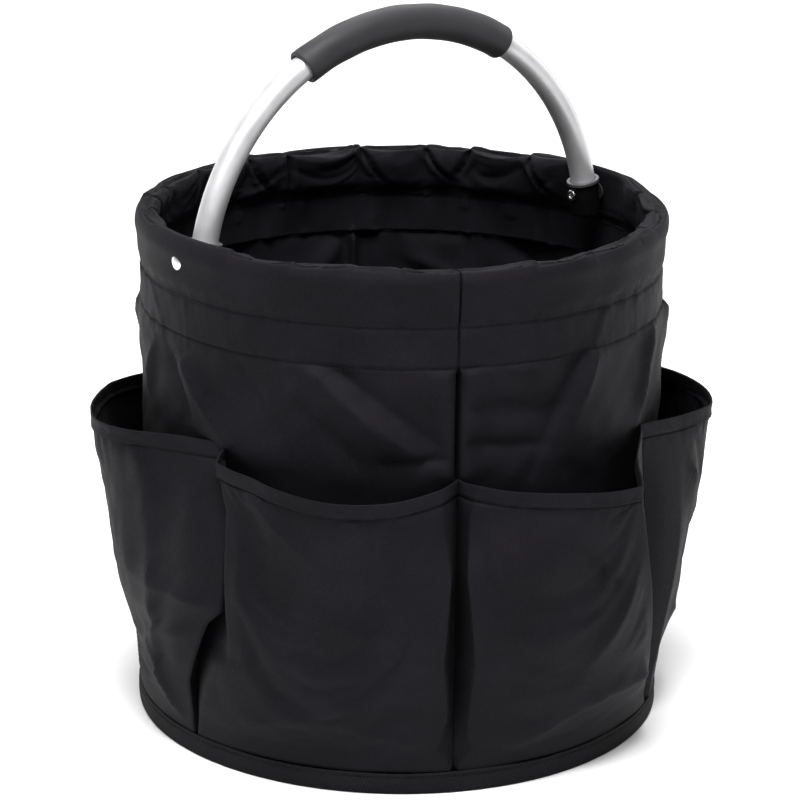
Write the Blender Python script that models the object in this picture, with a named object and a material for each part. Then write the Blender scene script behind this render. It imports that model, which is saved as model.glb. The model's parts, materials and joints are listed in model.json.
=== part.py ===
"""Garden tool bag: a round fabric tub with six bellows pockets and a folding bail handle.

Frame: origin at the centre of the underside, +Z up, +X along the handle's pivot axis.
Angles round the bag are measured from -Y towards +X. Every length is in metres.
"""
import math

import bmesh
import bpy
from mathutils import Vector

# ------------------------------------------------------------------ driving dimensions
GAP = 0.0003                # clearance between pieces that touch
RING_STEPS = 48             # facets round every ring of the bag
SEAM_ANGLE = -24.0          # degrees, the bag's front seam; the rear one is opposite

BAG_HEIGHT = 0.311          # underside to the top of the rim
WALL_OUTER = 0.155          # outer radius of the body fabric below the rim
WALL_THICK = 0.002
CLOTH = 0.001               # one layer of fabric in the rim casing

BASE_OUTER = 0.160          # outer radius over the base binding
BINDING_HEIGHT = 0.013      # a 25 mm tape folded over the base seam
BINDING_BEVEL = 0.0008
BASE_FABRIC_THICK = 0.002
BOARD_THICK = 0.003
LINING_THICK = 0.0014

RIM_OUTER = 0.1566          # outer radius of the fabric over the hoop
RIM_INNER = 0.1510          # inner radius of the facing behind the hoop
RIM_SKIN_TOP = 0.3065       # where the body fabric meets the facing's folded edge
FIRST_STITCH = 0.2764       # height of the stitch row under the hoop
SECOND_STITCH = 0.2535      # height of the facing's lower edge
SHOULDER_FOOT = 0.006       # below the first row, where the wall starts to widen over the hoop
SHOULDER_HEAD = 0.011       # above the first row, where it is as wide as the hoop's casing
SHOULDER_BEND = 0.005       # above the first row, where it turns upright again
SHOULDER_SOFT = 0.0004      # how far the two bends are eased
BAND_BEND_LOW = 0.002       # below the first row, where the facing leaves the wall
BAND_BEND_HIGH = 0.003      # above it, where the facing meets the hoop
LIP_THICK = 0.0022          # cloth over the hoop's top edge, two layers
LIP_SOFT = 0.0010           # width of the rim's rounded top edge
LIP_DROP = 0.0007           # height of the same
LIP_EDGE = 0.0025           # below the top, where that rounding starts
LIP_EASE = 0.0002           # how far the cloth leans in there

HOOP_INNER = 0.1530
HOOP_OUTER = 0.1546
HOOP_HEIGHT = 0.020
CLIP_SHEET = 0.0004         # sheet steel of the clip over the hoop's joint
CLIP_ANGLE = 156.0          # degrees, centre of the clip
CLIP_STEPS = 2              # facets that the clip covers

POCKET_COUNT = 6
POCKET_MOUTH = 0.186        # height of the mouth at the middle of the pocket
POCKET_CORNER_RISE = 0.006  # how much higher the mouth is at its seams
POCKET_MOUTH_DEPTH = 0.0320 # how far the mouth stands off the body
POCKET_FOOT_DEPTH = 0.0027  # the same at the binding
POCKET_FULLNESS = 1.35      # exponent of the pocket's side profile
POCKET_SQUARENESS = 2.8     # exponent of the pocket's outline from above
POCKET_CLOTH = 0.0016
POCKET_COLUMNS = 12
POCKET_ROWS = 6

PIVOT_HEIGHT = 0.2965       # height of the handle's pivot axis
ARC_RADIUS = 0.141          # centre-line of the bent handle tube
ARC_DROP = 0.020            # centre of that arc below the pivot axis
TUBE_OUTER = 0.0075
TUBE_WALL = 0.0012
TUBE_SIDES = 12
TUBE_STEPS = 32
GRIP_OUTER = 0.0105
GRIP_LENGTH = 0.149
GRIP_ROUND = 0.0012
GRIP_STEPS = 12
SOCKET_OUTER = 0.00915
SOCKET_BOTTOM = -0.0126     # along the tube's centre-line, from the pivot axis
SOCKET_TOP = 0.0070
SOCKET_FLOOR = 0.0023
SOCKET_ROUND = 0.0010
COLLAR_OUTER = 0.0102
COLLAR_THICK = 0.0023
COLLAR_BEVEL = 0.0004
SOCKET_SIDES = 20
PIVOT_FLAT = 0.1489         # distance of the socket's flat outer face from the middle

RIVET_SHANK = 0.0020
RIVET_BORE = 0.0013
RIVET_BORE_DEPTH = 0.006
RIVET_HOLE = 0.00215
RIVET_HEAD = 0.0047
RIVET_HEAD_THICK = 0.0017
RIVET_ROLL = 0.0035
RIVET_ROLL_THICK = 0.0011
RIVET_ROLL_SOFT = 0.0005
RIVET_INNER_END = 0.1285    # distance of the rolled end from the middle
RIVET_SIDES = 20
WASHER_OUTER = 0.0055
WASHER_THICK = 0.0011


# ------------------------------------------------------------------ scene and materials
def clear_scene():
    for obj in list(bpy.data.objects):
        bpy.data.objects.remove(obj, do_unlink=True)


def material(name, colour, roughness, metallic=0.0):
    made = bpy.data.materials.new(name)
    made.use_nodes = True
    shader = made.node_tree.nodes["Principled BSDF"]
    shader.inputs["Base Color"].default_value = (*colour, 1.0)
    shader.inputs["Roughness"].default_value = roughness
    shader.inputs["Metallic"].default_value = metallic
    return made


# ------------------------------------------------------------------ mesh helpers
def around(angle, radius, height):
    """The point at an angle in degrees round the bag."""
    turn = math.radians(angle)
    return Vector((radius * math.sin(turn), -radius * math.cos(turn), height))


def skin(bm, rings, loop=False):
    """Quads between successive rings of points; loop joins the last ring to the first."""
    rows = [[bm.verts.new(point) for point in ring] for ring in rings]
    following = rows[1:] + rows[:1] if loop else rows[1:]
    for lower, upper in zip(rows, following):
        join_rims(bm, lower, upper)
    return rows


def join_rims(bm, first, second):
    for here in range(len(first)):
        after = (here + 1) % len(first)
        bm.faces.new((first[here], first[after], second[after], second[here]))


def finish_mesh(bm, name, look, parent=None, smooth_angle=35.0):
    bmesh.ops.recalc_face_normals(bm, faces=bm.faces)
    mesh = bpy.data.meshes.new(name)
    bm.to_mesh(mesh)
    bm.free()
    mesh.materials.append(look)
    mesh.shade_smooth()
    mesh.set_sharp_from_angle(angle=math.radians(smooth_angle))
    obj = bpy.data.objects.new(name, mesh)
    bpy.context.collection.objects.link(obj)
    obj.parent = parent
    return obj


def ring_angles(first_step=0, steps=RING_STEPS, inset=0.0):
    """Facet angles from the front seam on; inset pulls the two ends in by that many degrees."""
    pitch = 360.0 / RING_STEPS
    angles = [SEAM_ANGLE + pitch * (first_step + step) for step in range(steps + 1)]
    angles[0] += inset
    angles[-1] -= inset
    return angles


def full_ring(name, profile, look):
    """Turn a closed (radius, height) profile right round the bag."""
    bm = bmesh.new()
    skin(bm, [[around(a, r, z) for r, z in profile] for a in ring_angles()[:-1]], loop=True)
    return finish_mesh(bm, name, look)


def part_ring(name, profile, angles, look):
    """Turn a closed profile through some angles, with flat ends."""
    bm = bmesh.new()
    rows = skin(bm, [[around(a, r, z) for r, z in profile] for a in angles])
    bm.faces.new(rows[0])
    bm.faces.new(rows[-1])
    return finish_mesh(bm, name, look)


def disc(name, radius, bottom, thick, look):
    bm = bmesh.new()
    rows = skin(bm, [[around(a, radius, z) for a in ring_angles()[:-1]] for z in (bottom, bottom + thick)])
    bm.faces.new(rows[0])
    bm.faces.new(rows[1])
    return finish_mesh(bm, name, look)


def drill(obj, cutter):
    hole = obj.modifiers.new("rivet_hole", "BOOLEAN")
    hole.operation = "DIFFERENCE"
    hole.solver = "EXACT"
    hole.object = cutter


def rivet_hole_cutter():
    """A rod along the pivot axis, as wide as the holes that the rivets pass through."""
    half_length = RIM_OUTER + RIVET_HEAD
    bm = bmesh.new()
    rings = []
    for x in (-half_length, half_length):
        turns = [2 * math.pi * side / RIVET_SIDES for side in range(RIVET_SIDES)]
        rings.append([(x, RIVET_HOLE * math.cos(t), PIVOT_HEIGHT + RIVET_HOLE * math.sin(t))
                      for t in turns])
    rows = skin(bm, rings)
    bm.faces.new(rows[0])
    bm.faces.new(rows[1])
    rod = finish_mesh(bm, "rivet_hole_cutter", material("cutter", (1.0, 0.2, 0.1), 0.5))
    rod.hide_render = True
    rod.display_type = "WIRE"
    return rod


# ------------------------------------------------------------------ the bag's shell
def body_panel(name, first_step, look):
    """Half of the body fabric: a straight wall that widens over the hoop."""
    wall_inner = WALL_OUTER - WALL_THICK
    skin_inner = RIM_OUTER - CLOTH
    foot = BASE_FABRIC_THICK + GAP
    profile = [
        (WALL_OUTER, foot),
        (WALL_OUTER, FIRST_STITCH - SHOULDER_FOOT),
        (WALL_OUTER + LIP_EASE, FIRST_STITCH),
        (RIM_OUTER - SHOULDER_SOFT, FIRST_STITCH + SHOULDER_BEND),
        (RIM_OUTER, FIRST_STITCH + SHOULDER_HEAD),
        (RIM_OUTER, RIM_SKIN_TOP),
        (skin_inner, RIM_SKIN_TOP),
        (skin_inner, FIRST_STITCH + SHOULDER_HEAD),
        (skin_inner - SHOULDER_SOFT, FIRST_STITCH + SHOULDER_BEND + CLOTH),
        (wall_inner + SHOULDER_SOFT, FIRST_STITCH + CLOTH),
        (wall_inner, FIRST_STITCH - SHOULDER_BEND),
        (wall_inner, foot),
    ]
    half_gap = math.degrees(GAP / 2 / WALL_OUTER)
    return part_ring(name, profile, ring_angles(first_step, RING_STEPS // 2, half_gap), look)


def rim_facing(look):
    """The inner band: folded over the hoop, sewn down under it, hanging to the second row."""
    band_outer = WALL_OUTER - WALL_THICK - GAP
    band_inner = band_outer - CLOTH
    lip = RIM_SKIN_TOP + GAP
    profile = [
        (band_outer, SECOND_STITCH),
        (band_outer, FIRST_STITCH - BAND_BEND_LOW),
        (RIM_INNER + CLOTH, FIRST_STITCH + BAND_BEND_HIGH),
        (RIM_INNER + CLOTH, lip + SHOULDER_SOFT),
        (HOOP_INNER, BAG_HEIGHT - LIP_THICK),
        (HOOP_OUTER, BAG_HEIGHT - LIP_THICK),
        (RIM_OUTER - CLOTH, lip),
        (RIM_OUTER, lip),
        (RIM_OUTER - LIP_EASE, BAG_HEIGHT - LIP_EDGE),
        (RIM_OUTER - LIP_SOFT, BAG_HEIGHT - LIP_DROP),
        ((RIM_OUTER + RIM_INNER) / 2, BAG_HEIGHT),
        (RIM_INNER + LIP_SOFT, BAG_HEIGHT - LIP_DROP),
        (RIM_INNER + LIP_EASE, BAG_HEIGHT - LIP_EDGE),
        (RIM_INNER, FIRST_STITCH + BAND_BEND_LOW),
        (band_inner, FIRST_STITCH - BAND_BEND_HIGH),
        (band_inner, SECOND_STITCH),
    ]
    return full_ring("rim_facing", profile, look)


def rim_hoop(look):
    top = PIVOT_HEIGHT + HOOP_HEIGHT / 2
    bottom = PIVOT_HEIGHT - HOOP_HEIGHT / 2
    half_gap = math.degrees(GAP / HOOP_INNER)
    first_step = round((CLIP_ANGLE - SEAM_ANGLE) / 360.0 * RING_STEPS)
    profile = [(HOOP_INNER, bottom), (HOOP_OUTER, bottom), (HOOP_OUTER, top), (HOOP_INNER, top)]
    return part_ring("rim_hoop", profile, ring_angles(first_step, RING_STEPS, half_gap), look)


def rectangle(inner, outer, bottom, top):
    return [(inner, bottom), (outer, bottom), (outer, top), (inner, top)]


def hoop_clip(look):
    """A flat sheet-steel sleeve over the place where the hoop's two ends meet."""
    top = PIVOT_HEIGHT + HOOP_HEIGHT / 2 + GAP / 3
    bottom = PIVOT_HEIGHT - HOOP_HEIGHT / 2 - GAP
    inner = rectangle(HOOP_INNER - GAP, HOOP_OUTER + GAP, bottom, top)
    outer = rectangle(HOOP_INNER - GAP - CLIP_SHEET, HOOP_OUTER + GAP + CLIP_SHEET,
                      bottom - CLIP_SHEET, top + CLIP_SHEET)
    first_step = round((CLIP_ANGLE - SEAM_ANGLE) / 360.0 * RING_STEPS) - CLIP_STEPS // 2
    angles = ring_angles(first_step, CLIP_STEPS)
    bm = bmesh.new()
    shells = [skin(bm, [[around(a, r, z) for r, z in loop] for a in angles]) for loop in (outer, inner)]
    join_rims(bm, shells[0][0], shells[1][0])
    join_rims(bm, shells[0][-1], shells[1][-1])
    return finish_mesh(bm, "hoop_clip", look)


def base_binding(look):
    bevel = BINDING_BEVEL
    inner = WALL_OUTER + GAP
    profile = [
        (inner, 0.0),
        (BASE_OUTER - bevel, 0.0),
        (BASE_OUTER, bevel),
        (BASE_OUTER, BINDING_HEIGHT - bevel),
        (BASE_OUTER - bevel, BINDING_HEIGHT),
        (inner, BINDING_HEIGHT),
    ]
    return full_ring("base_binding", profile, look)


# ------------------------------------------------------------------ bellows pockets
def pocket_depth(rise):
    """How far the pocket stands off the body, from its foot (0) to its mouth (1)."""
    swell = math.sin(rise * math.pi / 2) ** POCKET_FULLNESS
    return POCKET_FOOT_DEPTH + (POCKET_MOUTH_DEPTH - POCKET_FOOT_DEPTH) * swell


def pocket_outline(centre, rise):
    """Outer points of the pocket's face from seam to seam, as (angle, radius, height)."""
    foot = BINDING_HEIGHT + GAP
    half_angle = 180.0 / POCKET_COUNT - math.degrees(GAP / WALL_OUTER)
    points = []
    for column in range(POCKET_COLUMNS + 1):
        across = math.sin(math.pi / 2 * (2 * column / POCKET_COLUMNS - 1))
        bulge = max(0.0, 1 - abs(across) ** POCKET_SQUARENESS) ** (1 / POCKET_SQUARENESS)
        mouth = POCKET_MOUTH + POCKET_CORNER_RISE * abs(across) ** 3
        radius = WALL_OUTER + GAP + pocket_depth(rise) * bulge
        points.append((centre + half_angle * across, radius, foot + rise * (mouth - foot)))
    return points


def inward(points, rise):
    """The cloth's inner face: the outline moved square to itself by the cloth's thickness."""
    outer = [around(*point) for point in points]
    seat = WALL_OUTER + GAP
    moved = []
    for index, point in enumerate(outer):
        before = outer[max(index - 1, 0)]
        after = outer[min(index + 1, len(outer) - 1)]
        along = (after - before).to_2d().normalized()
        step = Vector((-along.y, along.x)) * POCKET_CLOTH
        flat = point.to_2d() + step
        if flat.length < seat or rise == 0.0 or index in (0, len(outer) - 1):
            flat = flat.normalized() * seat
        moved.append(Vector((flat.x, flat.y, point.z)))
    return moved


def pocket(name, centre, look):
    """One bellows pocket: a curved sheet of cloth, closed to the body at its seams and foot."""
    rises = [row / POCKET_ROWS for row in range(POCKET_ROWS + 1)]
    outlines = [pocket_outline(centre, rise) for rise in rises]
    rings = []
    for rise, outline in zip(rises, outlines):
        outer = [around(*point) for point in outline]
        rings.append(outer + list(reversed(inward(outline, rise))))
    bm = bmesh.new()
    rows = skin(bm, rings)
    count = POCKET_COLUMNS + 1
    for row in (rows[0], rows[-1]):
        for column in range(count - 1):
            mirror = 2 * count - 1 - column
            bm.faces.new((row[column], row[column + 1], row[mirror - 1], row[mirror]))
    return finish_mesh(bm, name, look)


# ------------------------------------------------------------------ handle
def arc_turn(length):
    """Angle of a point on the handle's arc, from the top, given its distance above the pivot."""
    return math.acos(ARC_DROP / ARC_RADIUS) - length / ARC_RADIUS


def tube_ring(turn, radius, sides, flat=None):
    """A ring of points round the handle's centre-line, relative to the pivot axis."""
    outward = Vector((math.sin(turn), 0.0, math.cos(turn)))
    centre = outward * ARC_RADIUS - Vector((0.0, 0.0, ARC_DROP))
    ring = []
    for side in range(sides):
        spin = 2 * math.pi * side / sides
        point = centre + outward * (radius * math.cos(spin)) + Vector((0.0, radius * math.sin(spin), 0.0))
        if flat is not None:
            point.x = max(-flat, min(flat, point.x))
        ring.append(point)
    return ring


def sleeve(name, outer, inner, sides, look, parent, floor=False, flat=None):
    """A hollow piece bent along the arc, from (turn, radius) stations; floor closes its first end."""
    bm = bmesh.new()
    outside = skin(bm, [tube_ring(turn, radius, sides, flat) for turn, radius in outer])
    inside = skin(bm, [tube_ring(turn, radius, sides) for turn, radius in inner])
    join_rims(bm, outside[-1], inside[-1])
    if floor:
        bm.faces.new(outside[0])
        bm.faces.new(inside[0])
    else:
        join_rims(bm, outside[0], inside[0])
    return finish_mesh(bm, name, look, parent)


def handle_tube(look, parent):
    end = arc_turn(SOCKET_BOTTOM + SOCKET_FLOOR + GAP)
    turns = [end * (2 * step / TUBE_STEPS - 1) for step in range(TUBE_STEPS + 1)]
    outer = [(turn, TUBE_OUTER) for turn in turns]
    inner = [(turn, TUBE_OUTER - TUBE_WALL) for turn in turns]
    return sleeve("handle_tube", outer, inner, TUBE_SIDES, look, parent)


def foam_grip(look, parent):
    half = GRIP_LENGTH / 2 / ARC_RADIUS
    soft = GRIP_ROUND / ARC_RADIUS
    turns = [(half - soft) * (2 * step / GRIP_STEPS - 1) for step in range(GRIP_STEPS + 1)]
    outer = [(-half, GRIP_OUTER - GRIP_ROUND)]
    outer += [(turn, GRIP_OUTER) for turn in turns]
    outer += [(half, GRIP_OUTER - GRIP_ROUND)]
    inner = [(turn, TUBE_OUTER + GAP) for turn, _ in outer]
    return sleeve("foam_grip", outer, inner, SOCKET_SIDES, look, parent)


def handle_socket(name, side, look, parent):
    """The moulded cup on the end of the tube, with a flat face towards the rim."""
    outer = [
        (SOCKET_BOTTOM, SOCKET_OUTER - SOCKET_ROUND),
        (SOCKET_BOTTOM + SOCKET_ROUND, SOCKET_OUTER),
        (SOCKET_TOP - SOCKET_ROUND / 2, SOCKET_OUTER),
        (SOCKET_TOP, SOCKET_OUTER - SOCKET_ROUND / 2),
    ]
    inner = [(SOCKET_BOTTOM + SOCKET_FLOOR, TUBE_OUTER + GAP), (SOCKET_TOP, TUBE_OUTER + GAP)]
    turned = [[(side * arc_turn(length), radius) for length, radius in path] for path in (outer, inner)]
    return sleeve(name, turned[0], turned[1], SOCKET_SIDES, look, parent, floor=True, flat=PIVOT_FLAT)


def socket_collar(name, side, look, parent):
    bottom = SOCKET_TOP + GAP
    top = bottom + COLLAR_THICK
    soft = COLLAR_BEVEL
    outer = [
        (bottom, COLLAR_OUTER - soft),
        (bottom + soft, COLLAR_OUTER),
        (top - soft, COLLAR_OUTER),
        (top, COLLAR_OUTER - soft),
    ]
    inner = [(bottom, TUBE_OUTER + GAP), (top, TUBE_OUTER + GAP)]
    turned = [[(side * arc_turn(length), radius) for length, radius in path] for path in (outer, inner)]
    return sleeve(name, turned[0], turned[1], SOCKET_SIDES, look, parent)


# ------------------------------------------------------------------ pivot hardware
def turned_on_pivot(name, side, profile, closed, look):
    """Turn a (distance from the middle, radius) profile round the pivot axis."""
    bm = bmesh.new()
    rings = []
    for distance, radius in profile:
        turns = [2 * math.pi * step / RIVET_SIDES for step in range(RIVET_SIDES)]
        rings.append([(side * distance, radius * math.cos(t), radius * math.sin(t)) for t in turns])
    rows = skin(bm, rings, loop=closed)
    if not closed:
        bm.faces.new(rows[0])
        bm.faces.new(rows[-1])
    obj = finish_mesh(bm, name, look)
    obj.location.z = PIVOT_HEIGHT
    return obj


def rivet(name, side, look):
    """A semi-tubular rivet: domed head outside, shank, rolled open end inside the socket."""
    seat = RIM_OUTER + GAP
    roll_seat = RIVET_INNER_END + RIVET_ROLL_THICK
    profile = [
        (RIVET_INNER_END + RIVET_BORE_DEPTH, RIVET_BORE),
        (RIVET_INNER_END, RIVET_BORE),
        (RIVET_INNER_END, RIVET_ROLL - RIVET_ROLL_SOFT),
        (RIVET_INNER_END + RIVET_ROLL_SOFT, RIVET_ROLL),
        (roll_seat, RIVET_ROLL),
        (roll_seat, RIVET_SHANK),
        (seat, RIVET_SHANK),
        (seat, RIVET_HEAD),
    ]
    dome_steps = 4
    for step in range(1, dome_steps):
        rise = step / dome_steps
        profile.append((seat + RIVET_HEAD_THICK * math.sin(rise * math.pi / 2),
                        RIVET_HEAD * math.cos(rise * math.pi / 2)))
    return turned_on_pivot(name, side, profile, False, look)


def pivot_washer(name, side, look):
    near = PIVOT_FLAT + GAP
    far = near + WASHER_THICK
    profile = [(near, RIVET_HOLE), (near, WASHER_OUTER), (far, WASHER_OUTER), (far, RIVET_HOLE)]
    return turned_on_pivot(name, side, profile, True, look)


# ------------------------------------------------------------------ assembly
def build_bag(cutter):
    oxford = material("oxford_fabric", (0.030, 0.029, 0.036), 0.72)
    facing_cloth = material("facing_fabric", (0.026, 0.025, 0.031), 0.75)
    webbing = material("binding_tape", (0.022, 0.021, 0.025), 0.80)
    board = material("base_board", (0.10, 0.10, 0.10), 0.60)
    plastic = material("hoop_plastic", (0.06, 0.06, 0.06), 0.45)
    steel = material("clip_steel", (0.55, 0.55, 0.56), 0.35, 1.0)
    disc("base_fabric", WALL_OUTER, 0.0, BASE_FABRIC_THICK, oxford)
    board_bottom = BASE_FABRIC_THICK + GAP
    lining_bottom = board_bottom + BOARD_THICK + GAP
    inside = WALL_OUTER - WALL_THICK - GAP
    disc("base_board", inside, board_bottom, BOARD_THICK, board)
    disc("base_lining", inside, lining_bottom, LINING_THICK, facing_cloth)
    base_binding(webbing)
    hoop_clip(steel)
    drilled = [
        body_panel("body_panel_right", 0, oxford),
        body_panel("body_panel_left", RING_STEPS // 2, oxford),
        rim_facing(facing_cloth),
        rim_hoop(plastic),
    ]
    for piece in drilled:
        drill(piece, cutter)
    pitch = 360.0 / POCKET_COUNT
    for index in range(POCKET_COUNT):
        pocket(f"pocket_{index + 1}", SEAM_ANGLE + pitch * (index + 0.5), oxford)


def build_handle(cutter):
    pivot = bpy.data.objects.new("handle_pivot", None)
    pivot.location.z = PIVOT_HEIGHT
    bpy.context.collection.objects.link(pivot)
    aluminium = material("satin_aluminium", (0.62, 0.62, 0.63), 0.32, 1.0)
    foam = material("grip_foam", (0.035, 0.035, 0.038), 0.85)
    black = material("socket_plastic", (0.025, 0.025, 0.027), 0.45)
    grey = material("collar_plastic", (0.30, 0.30, 0.31), 0.50)
    foam_grip(foam, pivot)
    drilled = [handle_tube(aluminium, pivot)]
    for word, side in (("right", 1), ("left", -1)):
        drilled.append(handle_socket(f"handle_socket_{word}", side, black, pivot))
        socket_collar(f"socket_collar_{word}", side, grey, pivot)
    for piece in drilled:
        drill(piece, cutter)


def build_pivots():
    bright = material("rivet_metal", (0.70, 0.70, 0.71), 0.25, 1.0)
    nylon = material("washer_nylon", (0.05, 0.05, 0.05), 0.50)
    for word, side in (("right", 1), ("left", -1)):
        rivet(f"rivet_{word}", side, bright)
        pivot_washer(f"pivot_washer_{word}", side, nylon)


def main():
    clear_scene()
    cutter = rivet_hole_cutter()
    build_bag(cutter)
    build_handle(cutter)
    build_pivots()


main()
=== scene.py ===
"""Looks of the garden tool bag: cloth, thread, handle and light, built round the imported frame."""
import json
import math

import bmesh
import bpy
import numpy as np
from mathutils import Matrix, Vector


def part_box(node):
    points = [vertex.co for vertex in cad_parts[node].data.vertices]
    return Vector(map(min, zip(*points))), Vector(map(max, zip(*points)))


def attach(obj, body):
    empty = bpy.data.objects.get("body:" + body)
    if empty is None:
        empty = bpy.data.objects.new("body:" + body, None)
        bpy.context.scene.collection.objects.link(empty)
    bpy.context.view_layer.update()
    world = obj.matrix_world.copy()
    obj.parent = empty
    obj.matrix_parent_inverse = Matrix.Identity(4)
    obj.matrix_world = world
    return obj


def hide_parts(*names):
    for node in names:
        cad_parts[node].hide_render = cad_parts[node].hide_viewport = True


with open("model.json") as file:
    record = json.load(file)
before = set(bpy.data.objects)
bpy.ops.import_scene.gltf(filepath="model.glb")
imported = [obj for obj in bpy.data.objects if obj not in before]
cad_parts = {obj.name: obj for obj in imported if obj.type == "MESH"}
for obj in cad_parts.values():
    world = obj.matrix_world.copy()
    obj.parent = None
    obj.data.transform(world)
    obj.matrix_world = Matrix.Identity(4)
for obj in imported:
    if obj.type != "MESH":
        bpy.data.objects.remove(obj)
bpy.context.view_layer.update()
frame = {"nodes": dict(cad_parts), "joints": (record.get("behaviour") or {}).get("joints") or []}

MM = 0.001
FRONT = -36.0                   # degrees, the side of the bag that faces the camera
CLOTH = 0.7 * MM                # thickness of the oxford fabric
CREASE_GAIN = 1.35              # how much deeper the main creases are pressed than listed


# ------------------------------------------------------------------ sizes read from the frame
def ring_of(node):
    """Smallest radius, largest radius, lowest and highest point of a CAD node."""
    points = np.array([v.co for v in frame["nodes"][node].data.vertices])
    radii = np.hypot(points[:, 0], points[:, 1])
    return radii.min(), radii.max(), points[:, 2].min(), points[:, 2].max()


HOOP_IN, HOOP_OUT, HOOP_LOW, HOOP_TOP = ring_of("rim_hoop")
RIM_IN, RIM_OUT, ROW_2, TOP = ring_of("rim_facing")
_, BASE_R, _, BINDING_TOP = ring_of("base_binding")
SEAT_R, _, POCKET_FOOT, _ = ring_of("pocket_1")
_, LINING_R, _, LINING_TOP = ring_of("base_lining")
ROW_1 = HOOP_LOW - 10 * MM      # the stitch row under the hoop
WALL_R = SEAT_R                 # outside of the body cloth below the rim
PIVOT = Vector(frame["joints"][0]["pos_m"])
FRONT_SEAM = -24.0              # degrees round the bag
POCKET_TURN = 60.0              # degrees from one pocket's seam to the next


# ------------------------------------------------------------------ shapes as numbers
def polar(angle, radius, height):
    """Points round the bag from angles in degrees, radii and heights."""
    angle, radius, height = np.broadcast_arrays(angle, radius, height)
    turn = np.radians(angle)
    return np.stack([radius * np.sin(turn), -radius * np.cos(turn), height], -1)


def angle_of(grid):
    """Degrees round the bag of a grid of points."""
    return np.degrees(np.arctan2(grid[..., 0], -grid[..., 1]))


def ease(value, low, high):
    """0 below low, 1 above high, smooth between."""
    t = np.clip((value - low) / (high - low), 0, 1)
    return t * t * (3 - 2 * t)


def turned(angle, centre):
    """Angle measured from centre, between -180 and 180 degrees."""
    return (angle - centre + 180) % 360 - 180


def from_seam(angle):
    """Degrees from the nearer of the body's two seams."""
    return np.minimum(abs(turned(angle, FRONT_SEAM)), abs(turned(angle, FRONT_SEAM + 180)))


def through(points, counts):
    """A smooth line through some points, with that many steps between each two."""
    points = np.asarray(points, float)
    padded = np.vstack([2 * points[0] - points[1], points, 2 * points[-1] - points[-2]])
    line = []
    for i, count in enumerate(counts):
        a, b, c, d = padded[i:i + 4]
        t = (np.arange(count) / count)[:, None]
        line.append(0.5 * (2 * b + (c - a) * t + (2 * a - 5 * b + 4 * c - d) * t**2
                           + (3 * b - a - 3 * c + d) * t**3))
    line.append(points[-1:])
    return np.vstack(line)


def ripple(x, y, size, seed, waves=14):
    """Smooth unevenness of about one unit, with lumps of a given size."""
    rng = np.random.default_rng(seed)
    total = np.zeros(np.broadcast(x, y).shape)
    for _ in range(waves):
        heading, phase = rng.uniform(0, 2 * math.pi, 2)
        reach = 2 * math.pi / size * rng.uniform(0.5, 1.4)
        total += np.sin(reach * (x * math.cos(heading) + y * math.sin(heading)) + phase)
    return total / math.sqrt(waves)


def normals_of(grid, closed=False):
    """Unit normals of a grid of points, outward where columns run anticlockwise and rows run up."""
    if closed:
        across = np.roll(grid, -1, 1) - np.roll(grid, 1, 1)
    else:
        across = np.gradient(grid, axis=1)
    up = np.gradient(grid, axis=0)
    normal = np.cross(across, up)
    return normal / np.maximum(np.linalg.norm(normal, axis=2, keepdims=True), 1e-12)


def fold(x, y, line, radius, soft=0.8 * MM):
    """Height of one fold on a surface of some radius: a crest from one place to another, each in
    degrees round and millimetres up, then its rise and its fall-off above and below, in millimetres."""
    start, low, end, high, rise, left, right = line
    x0, y0 = math.radians(start) * radius, low * MM
    x1, y1 = math.radians(end) * radius, high * MM
    along = np.array([x1 - x0, y1 - y0])
    length = np.hypot(*along)
    along = along / length
    t = ((x - x0) * along[0] + (y - y0) * along[1]) / length
    side = (y - y0) * along[0] - (x - x0) * along[1]
    reach = np.where(side > 0, left * MM, right * MM)
    body = np.exp(-(np.sqrt(side**2 + soft**2) - soft) / reach)
    past = np.maximum(np.maximum(-t, t - 1), 0) * length
    t = np.clip(t, 0, 1)
    crest = 0.35 + 0.65 * np.clip(4 * t * (1 - t), 0, 1)**0.5
    return rise * MM * body * np.exp(-(past / (0.22 * length))**2) * crest


# ------------------------------------------------------------------ meshes
def mesh_object(name, verts, faces, uvs=None, look=None):
    """A smooth mesh object; uvs are lengths along the cloth, in metres."""
    mesh = bpy.data.meshes.new(name)
    mesh.from_pydata(verts.reshape(-1, 3).tolist(), [], faces.tolist())
    if uvs is not None:
        layer = mesh.uv_layers.new(name="cloth")
        corners = np.zeros(len(mesh.loops), np.int32)
        mesh.loops.foreach_get("vertex_index", corners)
        layer.data.foreach_set("uv", uvs.reshape(-1, 2)[corners].astype(np.float32).ravel())
    mesh.shade_smooth()
    if look is not None:
        mesh.materials.append(look)
    obj = bpy.data.objects.new(name, mesh)
    bpy.context.scene.collection.objects.link(obj)
    return obj


def grid_faces(rows, columns, closed=False):
    """Quads of a grid; closed joins the last column to the first."""
    index = np.arange(rows * columns).reshape(rows, columns)
    after = np.roll(index, -1, 1) if closed else index[:, 1:]
    here = index if closed else index[:, :-1]
    quads = np.stack([here[:-1], after[:-1], after[1:], here[1:]], -1)
    return quads.reshape(-1, 4)


def sheet_uv(grid):
    """Lengths along the first row and up the first column, in metres, so that a weave keeps its size."""
    across = np.linalg.norm(np.diff(grid, axis=1), axis=2).mean(0)
    up = np.linalg.norm(np.diff(grid, axis=0), axis=2).mean(1)
    u = np.concatenate([[0], np.cumsum(across)])
    v = np.concatenate([[0], np.cumsum(up)])
    return np.stack(np.meshgrid(u, v), -1)


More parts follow.
